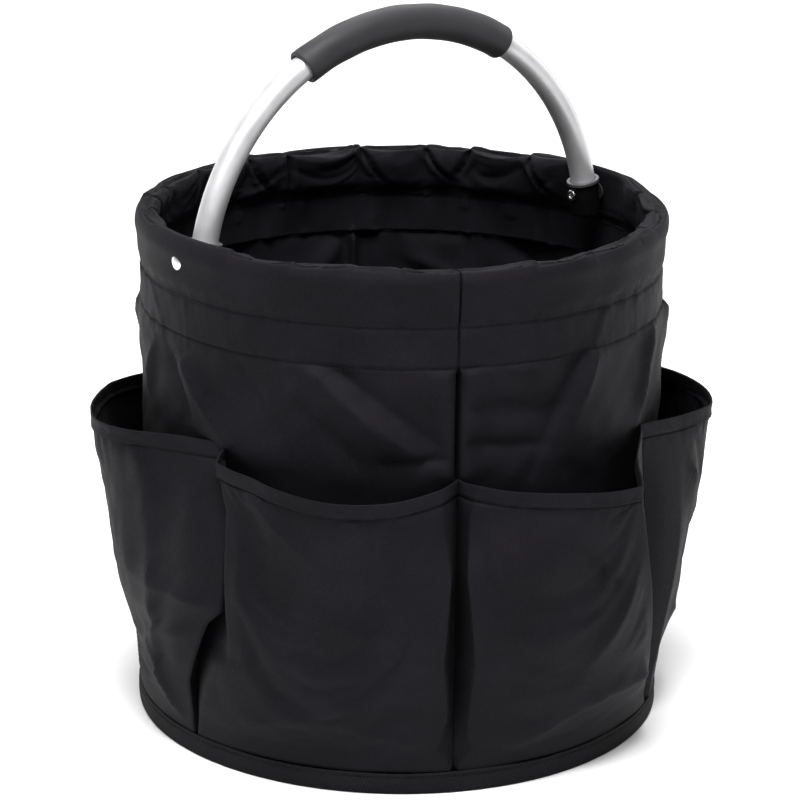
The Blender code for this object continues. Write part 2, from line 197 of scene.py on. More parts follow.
def cloth_piece(name, grid, look, closed=False, thick=CLOTH):
    """A grid of points as a piece of cloth; its thickness goes inward from the grid."""
    if closed:
        grid = np.concatenate([grid, grid[:, :1]], 1)
    rows, columns = grid.shape[:2]
    obj = mesh_object(name, grid, grid_faces(rows, columns), sheet_uv(grid), look)
    if closed:
        weld = obj.modifiers.new("join", "WELD")
        weld.merge_threshold = 0.00001
    shell = obj.modifiers.new("thickness", "SOLIDIFY")
    shell.thickness = thick
    shell.offset = -1
    shell.use_even_offset = False
    return obj


def joined(name, parts, look):
    """Several (verts, faces) shells as one mesh object."""
    verts, faces, offset = [], [], 0
    for v, f in parts:
        verts.append(v.reshape(-1, 3))
        faces.append(f + offset)
        offset += len(verts[-1])
    return mesh_object(name, np.vstack(verts), np.vstack(faces), None, look)


def place(obj, body, slot, *nodes):
    """Fixes a piece to its body and hides the CAD nodes it stands for; slot is not used."""
    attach(obj, body)
    if nodes:
        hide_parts(*nodes)
    return obj


# ------------------------------------------------------------------ cloth simulation
def coarse_places(count, step, closed):
    """Every step-th place of a row, with its last one unless the row is closed."""
    places = np.arange(0, count, step)
    return places if closed else np.unique(np.append(places, count - 1))


def spread(moves, places, count, closed, axis):
    """Carries moves known at some places of a row to all of them, and smooths them."""
    moves = np.moveaxis(moves, axis, 0)
    if closed:
        places = np.append(places, count)
        moves = np.concatenate([moves, moves[:1]])
    here = np.clip(np.searchsorted(places, np.arange(count), side="right") - 1, 0, len(places) - 2)
    share = (np.arange(count) - places[here]) / (places[here + 1] - places[here])
    share = share.reshape(-1, *[1] * (moves.ndim - 1))
    full = moves[here] * (1 - share) + moves[here + 1] * share
    before = np.roll(full, 1, 0) if closed else np.concatenate([full[:1], full[:-1]])
    after = np.roll(full, -1, 0) if closed else np.concatenate([full[1:], full[-1:]])
    return np.moveaxis((before + 2 * full + after) / 4, 0, axis)


def drape_coarsely(grid, held, step, closed=False, **settings):
    """Settles a grid by its every step-th point, which is quicker and folds more broadly."""
    rows = coarse_places(grid.shape[0], step, False)
    columns = coarse_places(grid.shape[1], step, closed)
    some = np.ix_(rows, columns)
    moves = drape(grid[some], held[some], closed, **settings) - grid[some]
    moves = spread(moves, columns, grid.shape[1], closed, 1)
    return grid + spread(moves, rows, grid.shape[0], False, 0)


HELD_LEVELS = 20                # steps between free and firmly held


def drape(grid, held, closed=False, spare=(0.0, 0.0), bending=4.0, frames=16, gravity=0.2):
    """Lets a grid of cloth settle. held says how firmly each point keeps its place, from 0 to 1, and
    spare how much longer the cloth is than the grid, round the bag and up it."""
    rows, columns = grid.shape[:2]
    obj = mesh_object("settling_cloth", grid, grid_faces(rows, columns, closed))
    group = obj.vertex_groups.new(name="held")
    levels = np.round(held.ravel() * HELD_LEVELS).astype(int)
    for level in np.unique(levels[levels > 0]):
        group.add(np.flatnonzero(levels == level).tolist(), level / HELD_LEVELS, "REPLACE")
    modifier = obj.modifiers.new("cloth", "CLOTH")
    set_cloth(modifier, longer_shape(obj, grid, closed, spare), bending, gravity)
    modifier.point_cache.frame_start, modifier.point_cache.frame_end = 1, frames
    scene = bpy.context.scene
    for number in range(1, frames + 1):
        scene.frame_set(number)
    final = obj.evaluated_get(bpy.context.evaluated_depsgraph_get())
    settled = np.zeros(rows * columns * 3)
    final.data.vertices.foreach_get("co", settled)
    bpy.data.objects.remove(obj)
    scene.frame_set(1)
    return settled.reshape(grid.shape)


def longer_shape(obj, grid, closed, spare):
    """A shape key as large as the cloth is when nothing holds it."""
    points = grid.reshape(-1, 3)
    middle = points.mean(0) * np.array([0, 0, 1]) if closed else points.mean(0)
    scale = np.array([1 + spare[0], 1 + spare[0], 1 + spare[1]])
    obj.shape_key_add(name="drawn")
    longer = obj.shape_key_add(name="longer")
    longer.data.foreach_set("co", ((points - middle) * scale + middle).ravel())
    return longer


def set_cloth(modifier, longer, bending, gravity):
    """A coated fabric: stiff along its threads, softer across them."""
    cloth = modifier.settings
    cloth.quality = 5
    cloth.mass = 0.3
    cloth.tension_stiffness = cloth.compression_stiffness = 30
    cloth.shear_stiffness = 15
    cloth.bending_model = "ANGULAR"
    cloth.bending_stiffness = bending
    cloth.tension_damping = cloth.compression_damping = cloth.shear_damping = 5
    cloth.bending_damping = 1.0
    cloth.air_damping = 2.0
    cloth.vertex_group_mass = "held"
    cloth.pin_stiffness = 1.0
    cloth.rest_shape_key = longer
    cloth.effector_weights.gravity = gravity
    modifier.collision_settings.use_collision = False


# ------------------------------------------------------------------ materials
class Nodes:
    """Adds shader nodes to a material and joins them."""

    def __init__(self, name):
        self.material = bpy.data.materials.new(name)
        self.material.use_nodes = True
        self.tree = self.material.node_tree
        self.shader = self.tree.nodes["Principled BSDF"]

    def add(self, kind, **settings):
        node = self.tree.nodes.new(kind)
        for key, value in settings.items():
            setattr(node, key, value)
        return node

    def link(self, source, target):
        self.tree.links.new(source, target)

    def math(self, operation, first, second=0.0):
        node = self.add("ShaderNodeMath", operation=operation)
        for socket, value in zip(node.inputs, (first, second)):
            if isinstance(value, (int, float)):
                socket.default_value = value
            else:
                self.link(value, socket)
        return node.outputs[0]

    def mix(self, share, first, second):
        node = self.add("ShaderNodeMix", data_type="RGBA")
        sockets = [node.inputs["Factor"], node.inputs[6], node.inputs[7]]
        for socket, value in zip(sockets, (share, first, second)):
            if isinstance(value, tuple):
                socket.default_value = (*value, 1.0)
            elif isinstance(value, (int, float)):
                socket.default_value = value
            else:
                self.link(value, socket)
        return node.outputs[2]

    def noise(self, scale, detail=3.0, coordinates=None):
        node = self.add("ShaderNodeTexNoise")
        node.inputs["Scale"].default_value = scale
        node.inputs["Detail"].default_value = detail
        node.inputs["Roughness"].default_value = 0.55
        place_at = coordinates or self.add("ShaderNodeTexCoord").outputs["Object"]
        self.link(place_at, node.inputs["Vector"])
        return node.outputs["Fac"]

    def span(self, value, low, high, start=0.0, end=1.0):
        node = self.add("ShaderNodeMapRange")
        for socket, number in zip(node.inputs[1:5], (start, end, low, high)):
            socket.default_value = number
        self.link(value, node.inputs[0])
        return node.outputs[0]

    def bump(self, height, distance, under=None):
        node = self.add("ShaderNodeBump")
        node.inputs["Distance"].default_value = distance
        node.inputs["Strength"].default_value = 1.0
        self.link(height, node.inputs["Height"])
        if under is not None:
            self.link(under, node.inputs["Normal"])
        return node.outputs["Normal"]

    def finish(self, colour=None, roughness=None, normal=None, **uniform):
        for socket, value in (("Base Color", colour), ("Roughness", roughness), ("Normal", normal)):
            if isinstance(value, tuple):
                self.shader.inputs[socket].default_value = (*value, 1.0)
            elif isinstance(value, (int, float)):
                self.shader.inputs[socket].default_value = value
            elif value is not None:
                self.link(value, self.shader.inputs[socket])
        for key, value in uniform.items():
            self.shader.inputs[key.replace("_", " ")].default_value = value
        return self.material


def weave_of(make, pitch, slant=0.0):
    """Height of a plain weave from the cloth's own lengths: threads of one pitch, over and under."""
    split = make.add("ShaderNodeSeparateXYZ")
    make.link(make.add("ShaderNodeUVMap", uv_map="cloth").outputs["UV"], split.inputs[0])
    turn = 2 * math.pi / pitch
    u = make.math("ADD", split.outputs[0], make.math("MULTIPLY", split.outputs[1], slant))
    warp = make.math("SINE", make.math("MULTIPLY", u, turn))
    weft = make.math("SINE", make.math("MULTIPLY", split.outputs[1], turn))
    return make.math("MULTIPLY", warp, weft)


def woven(name, dark, light, pitch, roughness, relief=0.18 * MM, slant=0.0, gloss=0.075,
          reach=35 * MM):
    """A coated fabric: the weave catches light on its raised threads, with slubs and faint dust; painted
    shade darkens its colour in recesses, where other surfaces lie within reach.
    """
    make = Nodes(name)
    raised = make.span(weave_of(make, pitch, slant), 0.0, 1.0, -1.0, 1.0)
    slub = make.noise(900.0, 2.0)
    cloudy = make.noise(22.0, 4.0)
    thread = make.math("MULTIPLY", raised, make.span(slub, 0.6, 1.15, 0.3, 0.7))
    tone = make.math("ADD", make.math("MULTIPLY", thread, 0.85), make.span(cloudy, -0.12, 0.18, 0.3, 0.7))
    # Painted shade: ambient occlusion pulls the colour towards a quarter of its darkest tone in creases,
    # grooves and under the rim.
    painted_shade_occlusion = make.add("ShaderNodeAmbientOcclusion", samples=6)
    painted_shade_occlusion.inputs["Distance"].default_value = reach
    painted_shade_share = make.span(painted_shade_occlusion.outputs["AO"], 0.0, 1.0, 0.12, 0.80)
    colour = make.mix(painted_shade_share, tuple(0.25 * c for c in dark), make.mix(tone, dark, light))
    rough = make.math("ADD", make.span(cloudy, roughness - 0.05, roughness + 0.06, 0.3, 0.7),
                      make.math("MULTIPLY", raised, -0.10))
    relief_normal = make.bump(thread, relief)
    normal = make.bump(make.noise(260.0, 3.0), 0.05 * MM, relief_normal)
    return make.finish(colour, rough, normal, Sheen_Weight=0.01, Sheen_Roughness=0.45,
                       Specular_IOR_Level=gloss)


def sewing_thread():
    make = Nodes("sewing_thread")
    grain = make.noise(2600.0, 2.0)
    colour = make.mix(grain, (0.0015, 0.0015, 0.002), (0.0045, 0.0045, 0.0055))
    normal = make.bump(grain, 0.05 * MM)
    return make.finish(colour, 0.75, normal, Specular_IOR_Level=0.15)


def satin_aluminium():
    """Anodised tube: fine lines round it, small dull marks."""
    make = Nodes("satin_aluminium_tube")
    where = make.add("ShaderNodeTexCoord").outputs["Object"]
    fine = make.noise(1400.0, 2.0, where)
    marks = make.noise(60.0, 5.0, where)
    colour = make.mix(make.span(marks, 0.0, 1.0, 0.35, 0.7), (0.66, 0.66, 0.68), (0.75, 0.75, 0.76))
    rough = make.math("ADD", make.span(fine, 0.40, 0.50, 0.3, 0.7), make.span(marks, -0.03, 0.05, 0.3, 0.7))
    return make.finish(colour, rough, make.bump(fine, 0.01 * MM), Metallic=0.62)


def moulded(name, dark, light, roughness, grain=0.02 * MM, scale=1500.0, metallic=0.0, gloss=0.5):
    """Moulded plastic, foam or metal with a fine grain and faint wear."""
    make = Nodes(name)
    fine = make.noise(scale, 3.0)
    worn = make.noise(45.0, 5.0)
    colour = make.mix(make.span(worn, 0.0, 1.0, 0.35, 0.75), dark, light)
    rough = make.span(worn, roughness - 0.06, roughness + 0.08, 0.3, 0.7)
    return make.finish(colour, rough, make.bump(fine, grain), Metallic=metallic, Specular_IOR_Level=gloss)


def grip_foam():
    """Closed-cell foam: tiny pores and a dull skin that is smoother where hands hold it."""
    make = Nodes("grip_foam_skin")
    cells = make.add("ShaderNodeTexVoronoi")
    cells.inputs["Scale"].default_value = 1500.0
    make.link(make.add("ShaderNodeTexCoord").outputs["Object"], cells.inputs["Vector"])
    worn = make.noise(30.0, 4.0)
    pores = make.span(cells.outputs["Distance"], 0.0, 1.0, 0.0, 0.6)
    colour = make.mix(make.span(worn, 0.0, 1.0, 0.3, 0.7), (0.017, 0.017, 0.019), (0.025, 0.025, 0.028))
    rough = make.span(worn, 0.50, 0.66, 0.3, 0.7)
    return make.finish(colour, rough, make.bump(pores, 0.05 * MM), Sheen_Weight=0.06,
                       Specular_IOR_Level=0.3)


def floor_paper():
    make = Nodes("studio_floor")
    colour = make.mix(make.noise(4.0, 2.0), (0.93, 0.93, 0.93), (0.96, 0.96, 0.96))
    return make.finish(colour, 0.9, None, Specular_IOR_Level=0.1)


OXFORD = woven("oxford_cloth", (0.0004, 0.0003, 0.0008), (0.0170, 0.0155, 0.0207), 1.35 * MM, 0.68)
# The facing's painted shade reaches further, so the inside of the bag is painted darker.
FACING = woven("facing_cloth", (0.0004, 0.0003, 0.0008), (0.0162, 0.0149, 0.0198), 1.35 * MM, 0.68,
               reach=80 * MM)
TAPE = woven("binding_webbing", (0.0022, 0.0022, 0.0030), (0.0240, 0.0232, 0.0270), 1.9 * MM, 0.75,
             0.22 * MM, slant=0.6)
THREAD = sewing_thread()


# ------------------------------------------------------------------ body cloth
def pinch_angles(count=25):
    """Uneven places round the rim where the casing's spare cloth is pinched together."""
    rng = np.random.default_rng(21)
    steps = rng.uniform(0.65, 1.35, count)
    return FRONT_SEAM + np.concatenate([[0], np.cumsum(steps)]) / steps.sum() * 360


def ring_columns():
    """Angles round the bag, close together at the two seams and at the casing's pinches."""
    wide = np.arange(0, 360, 1.0)
    by_seam = np.array([0, 0.14, 0.28, 0.45, 0.7, 1.1, 1.6])
    by_pinch = np.array([0, 0.3, 0.65])
    places = [wide]
    for seam in (0, 180, 360):
        places.extend([seam + by_seam, seam - by_seam])
    for pinch in pinch_angles() - FRONT_SEAM:
        places.extend([pinch + by_pinch, pinch - by_pinch])
    places = np.unique(np.round(np.concatenate(places) % 360, 3))
    kept = [0.0]
    for place_at in places[1:]:
        if place_at == 180 and place_at - kept[-1] < 0.13:
            kept.pop()
        if place_at - kept[-1] >= 0.13:
            kept.append(place_at)
    return FRONT_SEAM + np.array(kept)


# The wall's folds: start (degrees from the front, height), end, rise, fall-off above and below.
WALL_FOLDS = [
    (-20.0, 253, 5.0, 201, 6.0, 5.5, 15),
    (-17.5, 260, 7.5, 208, -3.4, 9, 3),
    (-4.0, 198, 10.0, 201, -3.4, 4, 6),
    (-22.0, 232, -8.0, 196, -3.0, 9, 6),
    (-53.0, 240, -37.0, 198, 5.0, 6, 13),
    (-63.0, 262, -50.0, 205, -3.2, 5, 8),
    (-36.0, 248, -26.0, 206, -2.2, 9, 5),
    (49.0, 286, 40.0, 217, 4.0, 9, 3),
    (44.0, 262, 31.0, 198, -4.2, 2.5, 12),
    (13.0, 231, 38.0, 223, -3.8, 7, 7),
    (12.5, 209, 31.0, 203, -3.8, 6, 7),
    (13.0, 256, 34.0, 248, 2.2, 4, 9),
    (70.0, 258, 63.0, 205, 3.6, 8, 4),
    (86.0, 262, 94.0, 212, 3.4, 5, 12),
    (-70.0, 280, -57.0, 240, 2.8, 3, 9),
    (-66.0, 240, -70.0, 205, 3.0, 4, 9),
    (100.0, 252, 118.0, 200, 4.6, 12, 5),
    (152.0, 250, 138.0, 204, 4.4, 5, 14),
    (178.0, 236, 160.0, 218, -3.0, 5, 9),
    (-90.0, 250, -106.0, 200, 4.4, 5, 14),
    (-140.0, 252, -124.0, 205, 4.0, 12, 5),
    (-165.0, 246, -150.0, 200, -3.4, 8, 8),
]


POCKET_HIDES = 0.176, 0.190             # the wall's creases fade out between these heights


def wall_relief(angle, height):
    """How far the wall's cloth stands in or out of its round shape."""
    x = np.radians(turned(angle, FRONT)) * WALL_R
    relief = 0.8 * MM * ripple(x, height, 60 * MM, 5) + 0.25 * MM * ripple(x, height, 22 * MM, 6)
    shown = ease(height, *POCKET_HIDES) * (1 - ease(height, ROW_2 - 9 * MM, ROW_2))
    beside = np.radians(from_seam(angle)) * WALL_R
    bulge = 2.6 * MM * np.exp(-((beside - 8 * MM) / (6 * MM))**2)
    groove = -2.0 * MM * np.exp(-(beside / (3.2 * MM))**2) - 5.0 * MM * np.exp(-(beside / (1.1 * MM))**2)
    pulled = ease(height, 0.17, 0.20) * (1 - ease(height, ROW_2 - 5 * MM, ROW_2))
    sewn = -1.7 * MM * np.exp(-(beside / (0.55 * MM))**2) * ease(height, ROW_2 - 4 * MM, ROW_2)
    return relief * shown * (0.25 + 0.75 * ease(beside, 0.0, 12 * MM)) + (bulge + groove) * pulled + sewn


def crease_wall(grid):
    """Presses the wall's main creases into its settled cloth; the rows and the seams hold them back."""
    height = grid[..., 2]
    angle = angle_of(grid)
    x = np.radians(turned(angle, FRONT)) * WALL_R
    beside = np.radians(from_seam(angle)) * WALL_R
    free = ease(height, *POCKET_HIDES) * (1 - 0.8 * ease(height, ROW_2 - 5 * MM, ROW_2 + 2 * MM))
    free = free * (1 - ease(height, ROW_1 - 4 * MM, ROW_1)) * ease(beside, 0, 9 * MM)
    relief = CREASE_GAIN * sum(fold(x, height, line, WALL_R) for line in WALL_FOLDS) * free
    return grid + normals_of(grid, True) * relief[..., None]


def row_dip(height, row):
    """The dent that a stitch row pulls into the cloth."""
    return -1.0 * MM * np.exp(-((height - row) / (0.8 * MM))**2)


def wall_grid(angles):
    """The wall's cloth from the base to just above the upper row, before it settles."""
    heights = np.concatenate([
        np.arange(4.0, 170.0, 4.0),
        np.arange(170.0, ROW_2 / MM - 6, 1.8),
        np.arange(ROW_2 / MM - 6, ROW_1 / MM + 8, 0.95),
    ]) * MM
    angle, height = np.meshgrid(angles, heights)
    x = np.radians(angle) * WALL_R
    radius = WALL_R + wall_relief(angle, height)
    pucker = 0.35 * MM * ripple(x, height * 0.35, 9 * MM, 11)
    near_rows = np.exp(-((height - ROW_1) / (9 * MM))**2) + np.exp(-((height - ROW_2) / (9 * MM))**2)
    radius = radius + pucker * near_rows + row_dip(height, ROW_1) + row_dip(height, ROW_2)
    radius = radius + (RIM_OUT - WALL_R) * ease(height, ROW_1 + 2 * MM, ROW_1 + 9 * MM)
    return polar(angle, radius, height)


# ------------------------------------------------------------------ gathered rim casing
def puffs(angle, drop):
    """Cloth between pinches: 0 at a pinch to 1 on a puff, the puff's own size, and the lap of its
    cloth over the next, which grows across the puff and drops at the pinch."""
    pinches = pinch_angles()
    rng = np.random.default_rng(4)
    count = len(pinches) - 1
    lean = rng.uniform(-5.5, 5.5, count)
    skew = rng.uniform(0.65, 1.5, count)
    size = rng.uniform(0.6, 1.0, count)
    full = np.zeros_like(angle)
    sizes = np.zeros_like(angle)
    lap = np.zeros_like(angle)
    for turn in (-360, 0, 360):
        for k in range(count):
            after = (k + 1) % count
            left = pinches[k] + turn + lean[k] * drop**1.6
            right = pinches[k + 1] + turn + lean[after] * drop**1.6
            u = (angle - left) / (right - left)
            inside = (u >= 0) & (u < 1)
            v = np.clip(u, 0, 1) ** skew[k]
            full = np.where(inside, (4 * v * (1 - v)) ** 0.55, full)
            sizes = np.where(inside, size[k], sizes)
            lap = np.where(inside, (u - 0.5) * np.sign(lean[k]), lap)
    return full, sizes, lap


def by_pivot(angle):
    """1 beside the handle's pivots, 0 away from them."""
    away = np.minimum(abs(turned(angle, 90)), abs(turned(angle, -90)))
    return 1 - ease(away, 6.5, 18.0)


def casing_section():
    """Radius and height from the outside of the rim, over its top, down inside to the two rows."""
    inner_top = HOOP_TOP + 0.6 * MM
    return through([
        (RIM_OUT, ROW_1 + 9.5 * MM), (RIM_OUT + 0.5 * MM, HOOP_LOW + 8 * MM),
        (RIM_OUT + 1.9 * MM, TOP - 8.5 * MM), (RIM_OUT, TOP - 3.0 * MM),
        (HOOP_OUT - 0.9 * MM, TOP + 0.3 * MM), (HOOP_IN - 1.9 * MM, TOP - 0.7 * MM),
        (RIM_IN - 0.8 * MM, inner_top - 1.5 * MM),
        (RIM_IN - 0.6 * MM, HOOP_LOW + 8 * MM), (RIM_IN - 0.3 * MM, HOOP_LOW),
        (SEAT_R - 2.2 * MM, ROW_1 + 0.8 * MM), (SEAT_R - 2.1 * MM, ROW_1 - 3 * MM),
        (SEAT_R - 2.0 * MM, ROW_2 + 8 * MM), (SEAT_R - 2.2 * MM, ROW_2)],
        (4, 7, 5, 5, 5, 5, 8, 8, 7, 4, 8, 6))


def casing_grid(angles):
    """The casing's cloth before it settles, the row of its top, and how firmly each point is held."""
    section = casing_section()
    radius, height = section[:, :1], section[:, 1:]
    steps = np.linalg.norm(np.diff(section, axis=0), axis=1)
    length = np.concatenate([[0], np.cumsum(steps)])[:, None]
    top_at = length[np.argmax(section[:, 1])]
    sewn_at = length[np.argmin(abs(section[:, 1] - ROW_1) + 1.0 * (section[:, 0] > HOOP_IN))]
    drop = np.clip((length - top_at) / (sewn_at - top_at), 0, 1)
    angle = np.broadcast_to(angles[None, :], (len(section), len(angles)))
    full, size, lap = puffs(angle, drop)
    quiet = 1 - by_pivot(angle)
    swell = np.sin(np.pi * drop**0.5) ** 0.9
    over = np.exp(-((length - top_at) / (4.5 * MM))**2)
    lip = ease(length, top_at - 11 * MM, top_at - 2 * MM) * (1 - ease(drop, 0.0, 0.25))
    x = np.radians(angle) * WALL_R
    inward = swell * quiet * size * (0.25 + 0.75 * full) * 8.0 * MM
    inward = inward + 0.45 * MM * quiet * ripple(x, length * 0.3, 16 * MM, 31) * ease(drop, 0.02, 0.2)
    clear = 0.9 * MM * (1 - quiet) * ease(drop, 0.05, 0.25)
    grown = radius - inward + clear + 0.35 * MM * quiet * ripple(x, length, 40 * MM, 33) * (drop < 1)
    lift = over * quiet * (size * full * 1.6 - 1.1 + 1.7 * lap) * MM
    radial = lip * quiet * (full - 0.75 + 0.9 * lap) * 0.9 * MM
    seam = np.radians(from_seam(angle)) * RIM_OUT
    radial = radial - 1.7 * MM * np.exp(-(seam / (0.55 * MM))**2) * (length < top_at + 6 * MM)
    sag = -swell * inward * 0.25
    firm = held_casing(drop, full, length, top_at, quiet)
    return polar(angle, grown + radial, height + lift + sag), int(np.argmax(section[:, 1])), firm


def held_casing(drop, full, length, top_at, quiet):
    """The casing is sewn at the first row, tight over the hoop outside, and caught at each pinch."""
    outside = 1 - ease(length, top_at - 9 * MM, top_at - 1 * MM)
    sewn = ease(drop, 0.93, 0.99)
    pinched = 0.55 * (1 - ease(full, 0.15, 0.6)) * ease(drop, 0.0, 0.1)
    crown = 0.15 * np.exp(-((length - top_at) / (3 * MM))**2)
    by_hinge = 1.0 * (quiet < 0.5)
    return np.clip(np.maximum.reduce(np.broadcast_arrays(outside, sewn, pinched, crown, by_hinge)), 0, 1)


def settle_casing(grid, firm):
    """The spare cloth of the casing buckles between its pinches, which are then drawn in sharply."""
    settled = drape(grid, firm, closed=True, spare=(0.17, 0.04), bending=0.5, frames=18, gravity=0.5)
    rise = grid[..., 2]
    angle = angle_of(grid)
    across = np.hypot(settled[..., 0], settled[..., 1])
    inside = (across < HOOP_IN) * (np.arange(len(grid))[:, None] > np.argmax(rise.mean(1)))
    drawn = pinch_relief(angle, rise)
    drawn = np.minimum(drawn, np.maximum(across - 0.1, 0)) * inside * (1 - by_pivot(angle))
    kept = np.minimum(across - drawn, np.where(inside, HOOP_IN - 0.9 * MM, 1.0))
    settled[..., :2] *= (np.where(inside, kept, across) / across)[..., None]
    return settled


def pinch_relief(angle, rise):
    """How far inward the cloth stands beside each pinch, and outward in it."""
    rng = np.random.default_rng(13)
    drawn = np.zeros(angle.shape)
    for pinch in pinch_angles()[:-1]:
        reach, deep, bend = rng.uniform(14, 26) * MM, rng.uniform(2.4, 4.6) * MM, rng.uniform(-7, 7)
        below = np.clip((TOP - rise) / reach, 0, 1.6)
        beside = np.radians(turned(angle, pinch + bend * below**1.5)) * RIM_IN
        here = ease(below, 0.0, 0.2) * (1 - ease(below, 0.75, 1.3))
        dent = np.exp(-(beside / (1.5 * MM))**2)
        ridge = np.exp(-((abs(beside) - 4.0 * MM) / (2.2 * MM))**2)
        drawn += here * deep * (0.45 * ridge - dent)
    return drawn


def settle_wall(grid):
    """The wall's cloth is a little longer than its rows and seams allow, so it creases between them."""
    height = grid[..., 2]
    angle = angle_of(grid)
    low = 1 - ease(height, 0.150, 0.170)
    rows = np.exp(-((height - ROW_1) / (2.5 * MM))**2) + np.exp(-((height - ROW_2) / (2.5 * MM))**2)
    above = ease(height, ROW_1, ROW_1 + 3 * MM)
    seam = 1 - ease(from_seam(angle), 0.2, 0.9)
    firm = np.clip(np.maximum.reduce([low, rows, above, seam]), 0, 1)
    start = int(np.argmax(height.mean(1) > 0.145))
    settled = grid.copy()
    settled[start:] = drape_coarsely(grid[start:], firm[start:], 2, closed=True, spare=(0.008, 0.022),
                                     bending=5.0, frames=20)
    return settled


def seam_split(angles):
    """The column of the rear seam, where the right half ends and the left half starts."""
    return int(np.argmin(abs(angles - (FRONT_SEAM + 180))))


def build_body():
    """Both halves of the body with the outside of the rim, and the facing inside it."""
    angles = ring_columns()
    wall = crease_wall(settle_wall(wall_grid(angles)))
    casing, top, firm = casing_grid(angles)
    casing = settle_casing(casing, firm)
    outside = np.concatenate([wall, casing[:top + 2]], 0)
    inside = casing[top + 1:]
    rear = seam_split(angles)
    outside = np.concatenate([outside, outside[:, :1]], 1)
    halves = {"right": outside[:, :rear + 1], "left": outside[:, rear:]}
    for side, half in halves.items():
        piece = cloth_piece(f"body_cloth_{side}", half, OXFORD)
        place(piece, "bag", "oxford_fabric", f"body_panel_{side}")
    facing = cloth_piece("rim_facing_cloth", inside, FACING, closed=True)
    place(facing, "bag", "facing_fabric", "rim_facing")
    return wall


# ------------------------------------------------------------------ pockets
# Outlines of a pocket seen from above, from its left seam to its right seam: each point is degrees
# from the pocket's middle and millimetres off the body; a mouth's points add the height in millimetres.
# The third point from each end is the crease where the face turns to the pocket's side.
FOOT_OUT = [(-30, 1.0), (-29.6, 2.4), (-29.1, 3.8), (-18, 3.5), (-9, 3.5), (0, 3.5),
            (9, 3.5), (18, 3.5), (29.1, 3.8), (29.6, 2.4), (30, 1.0)]

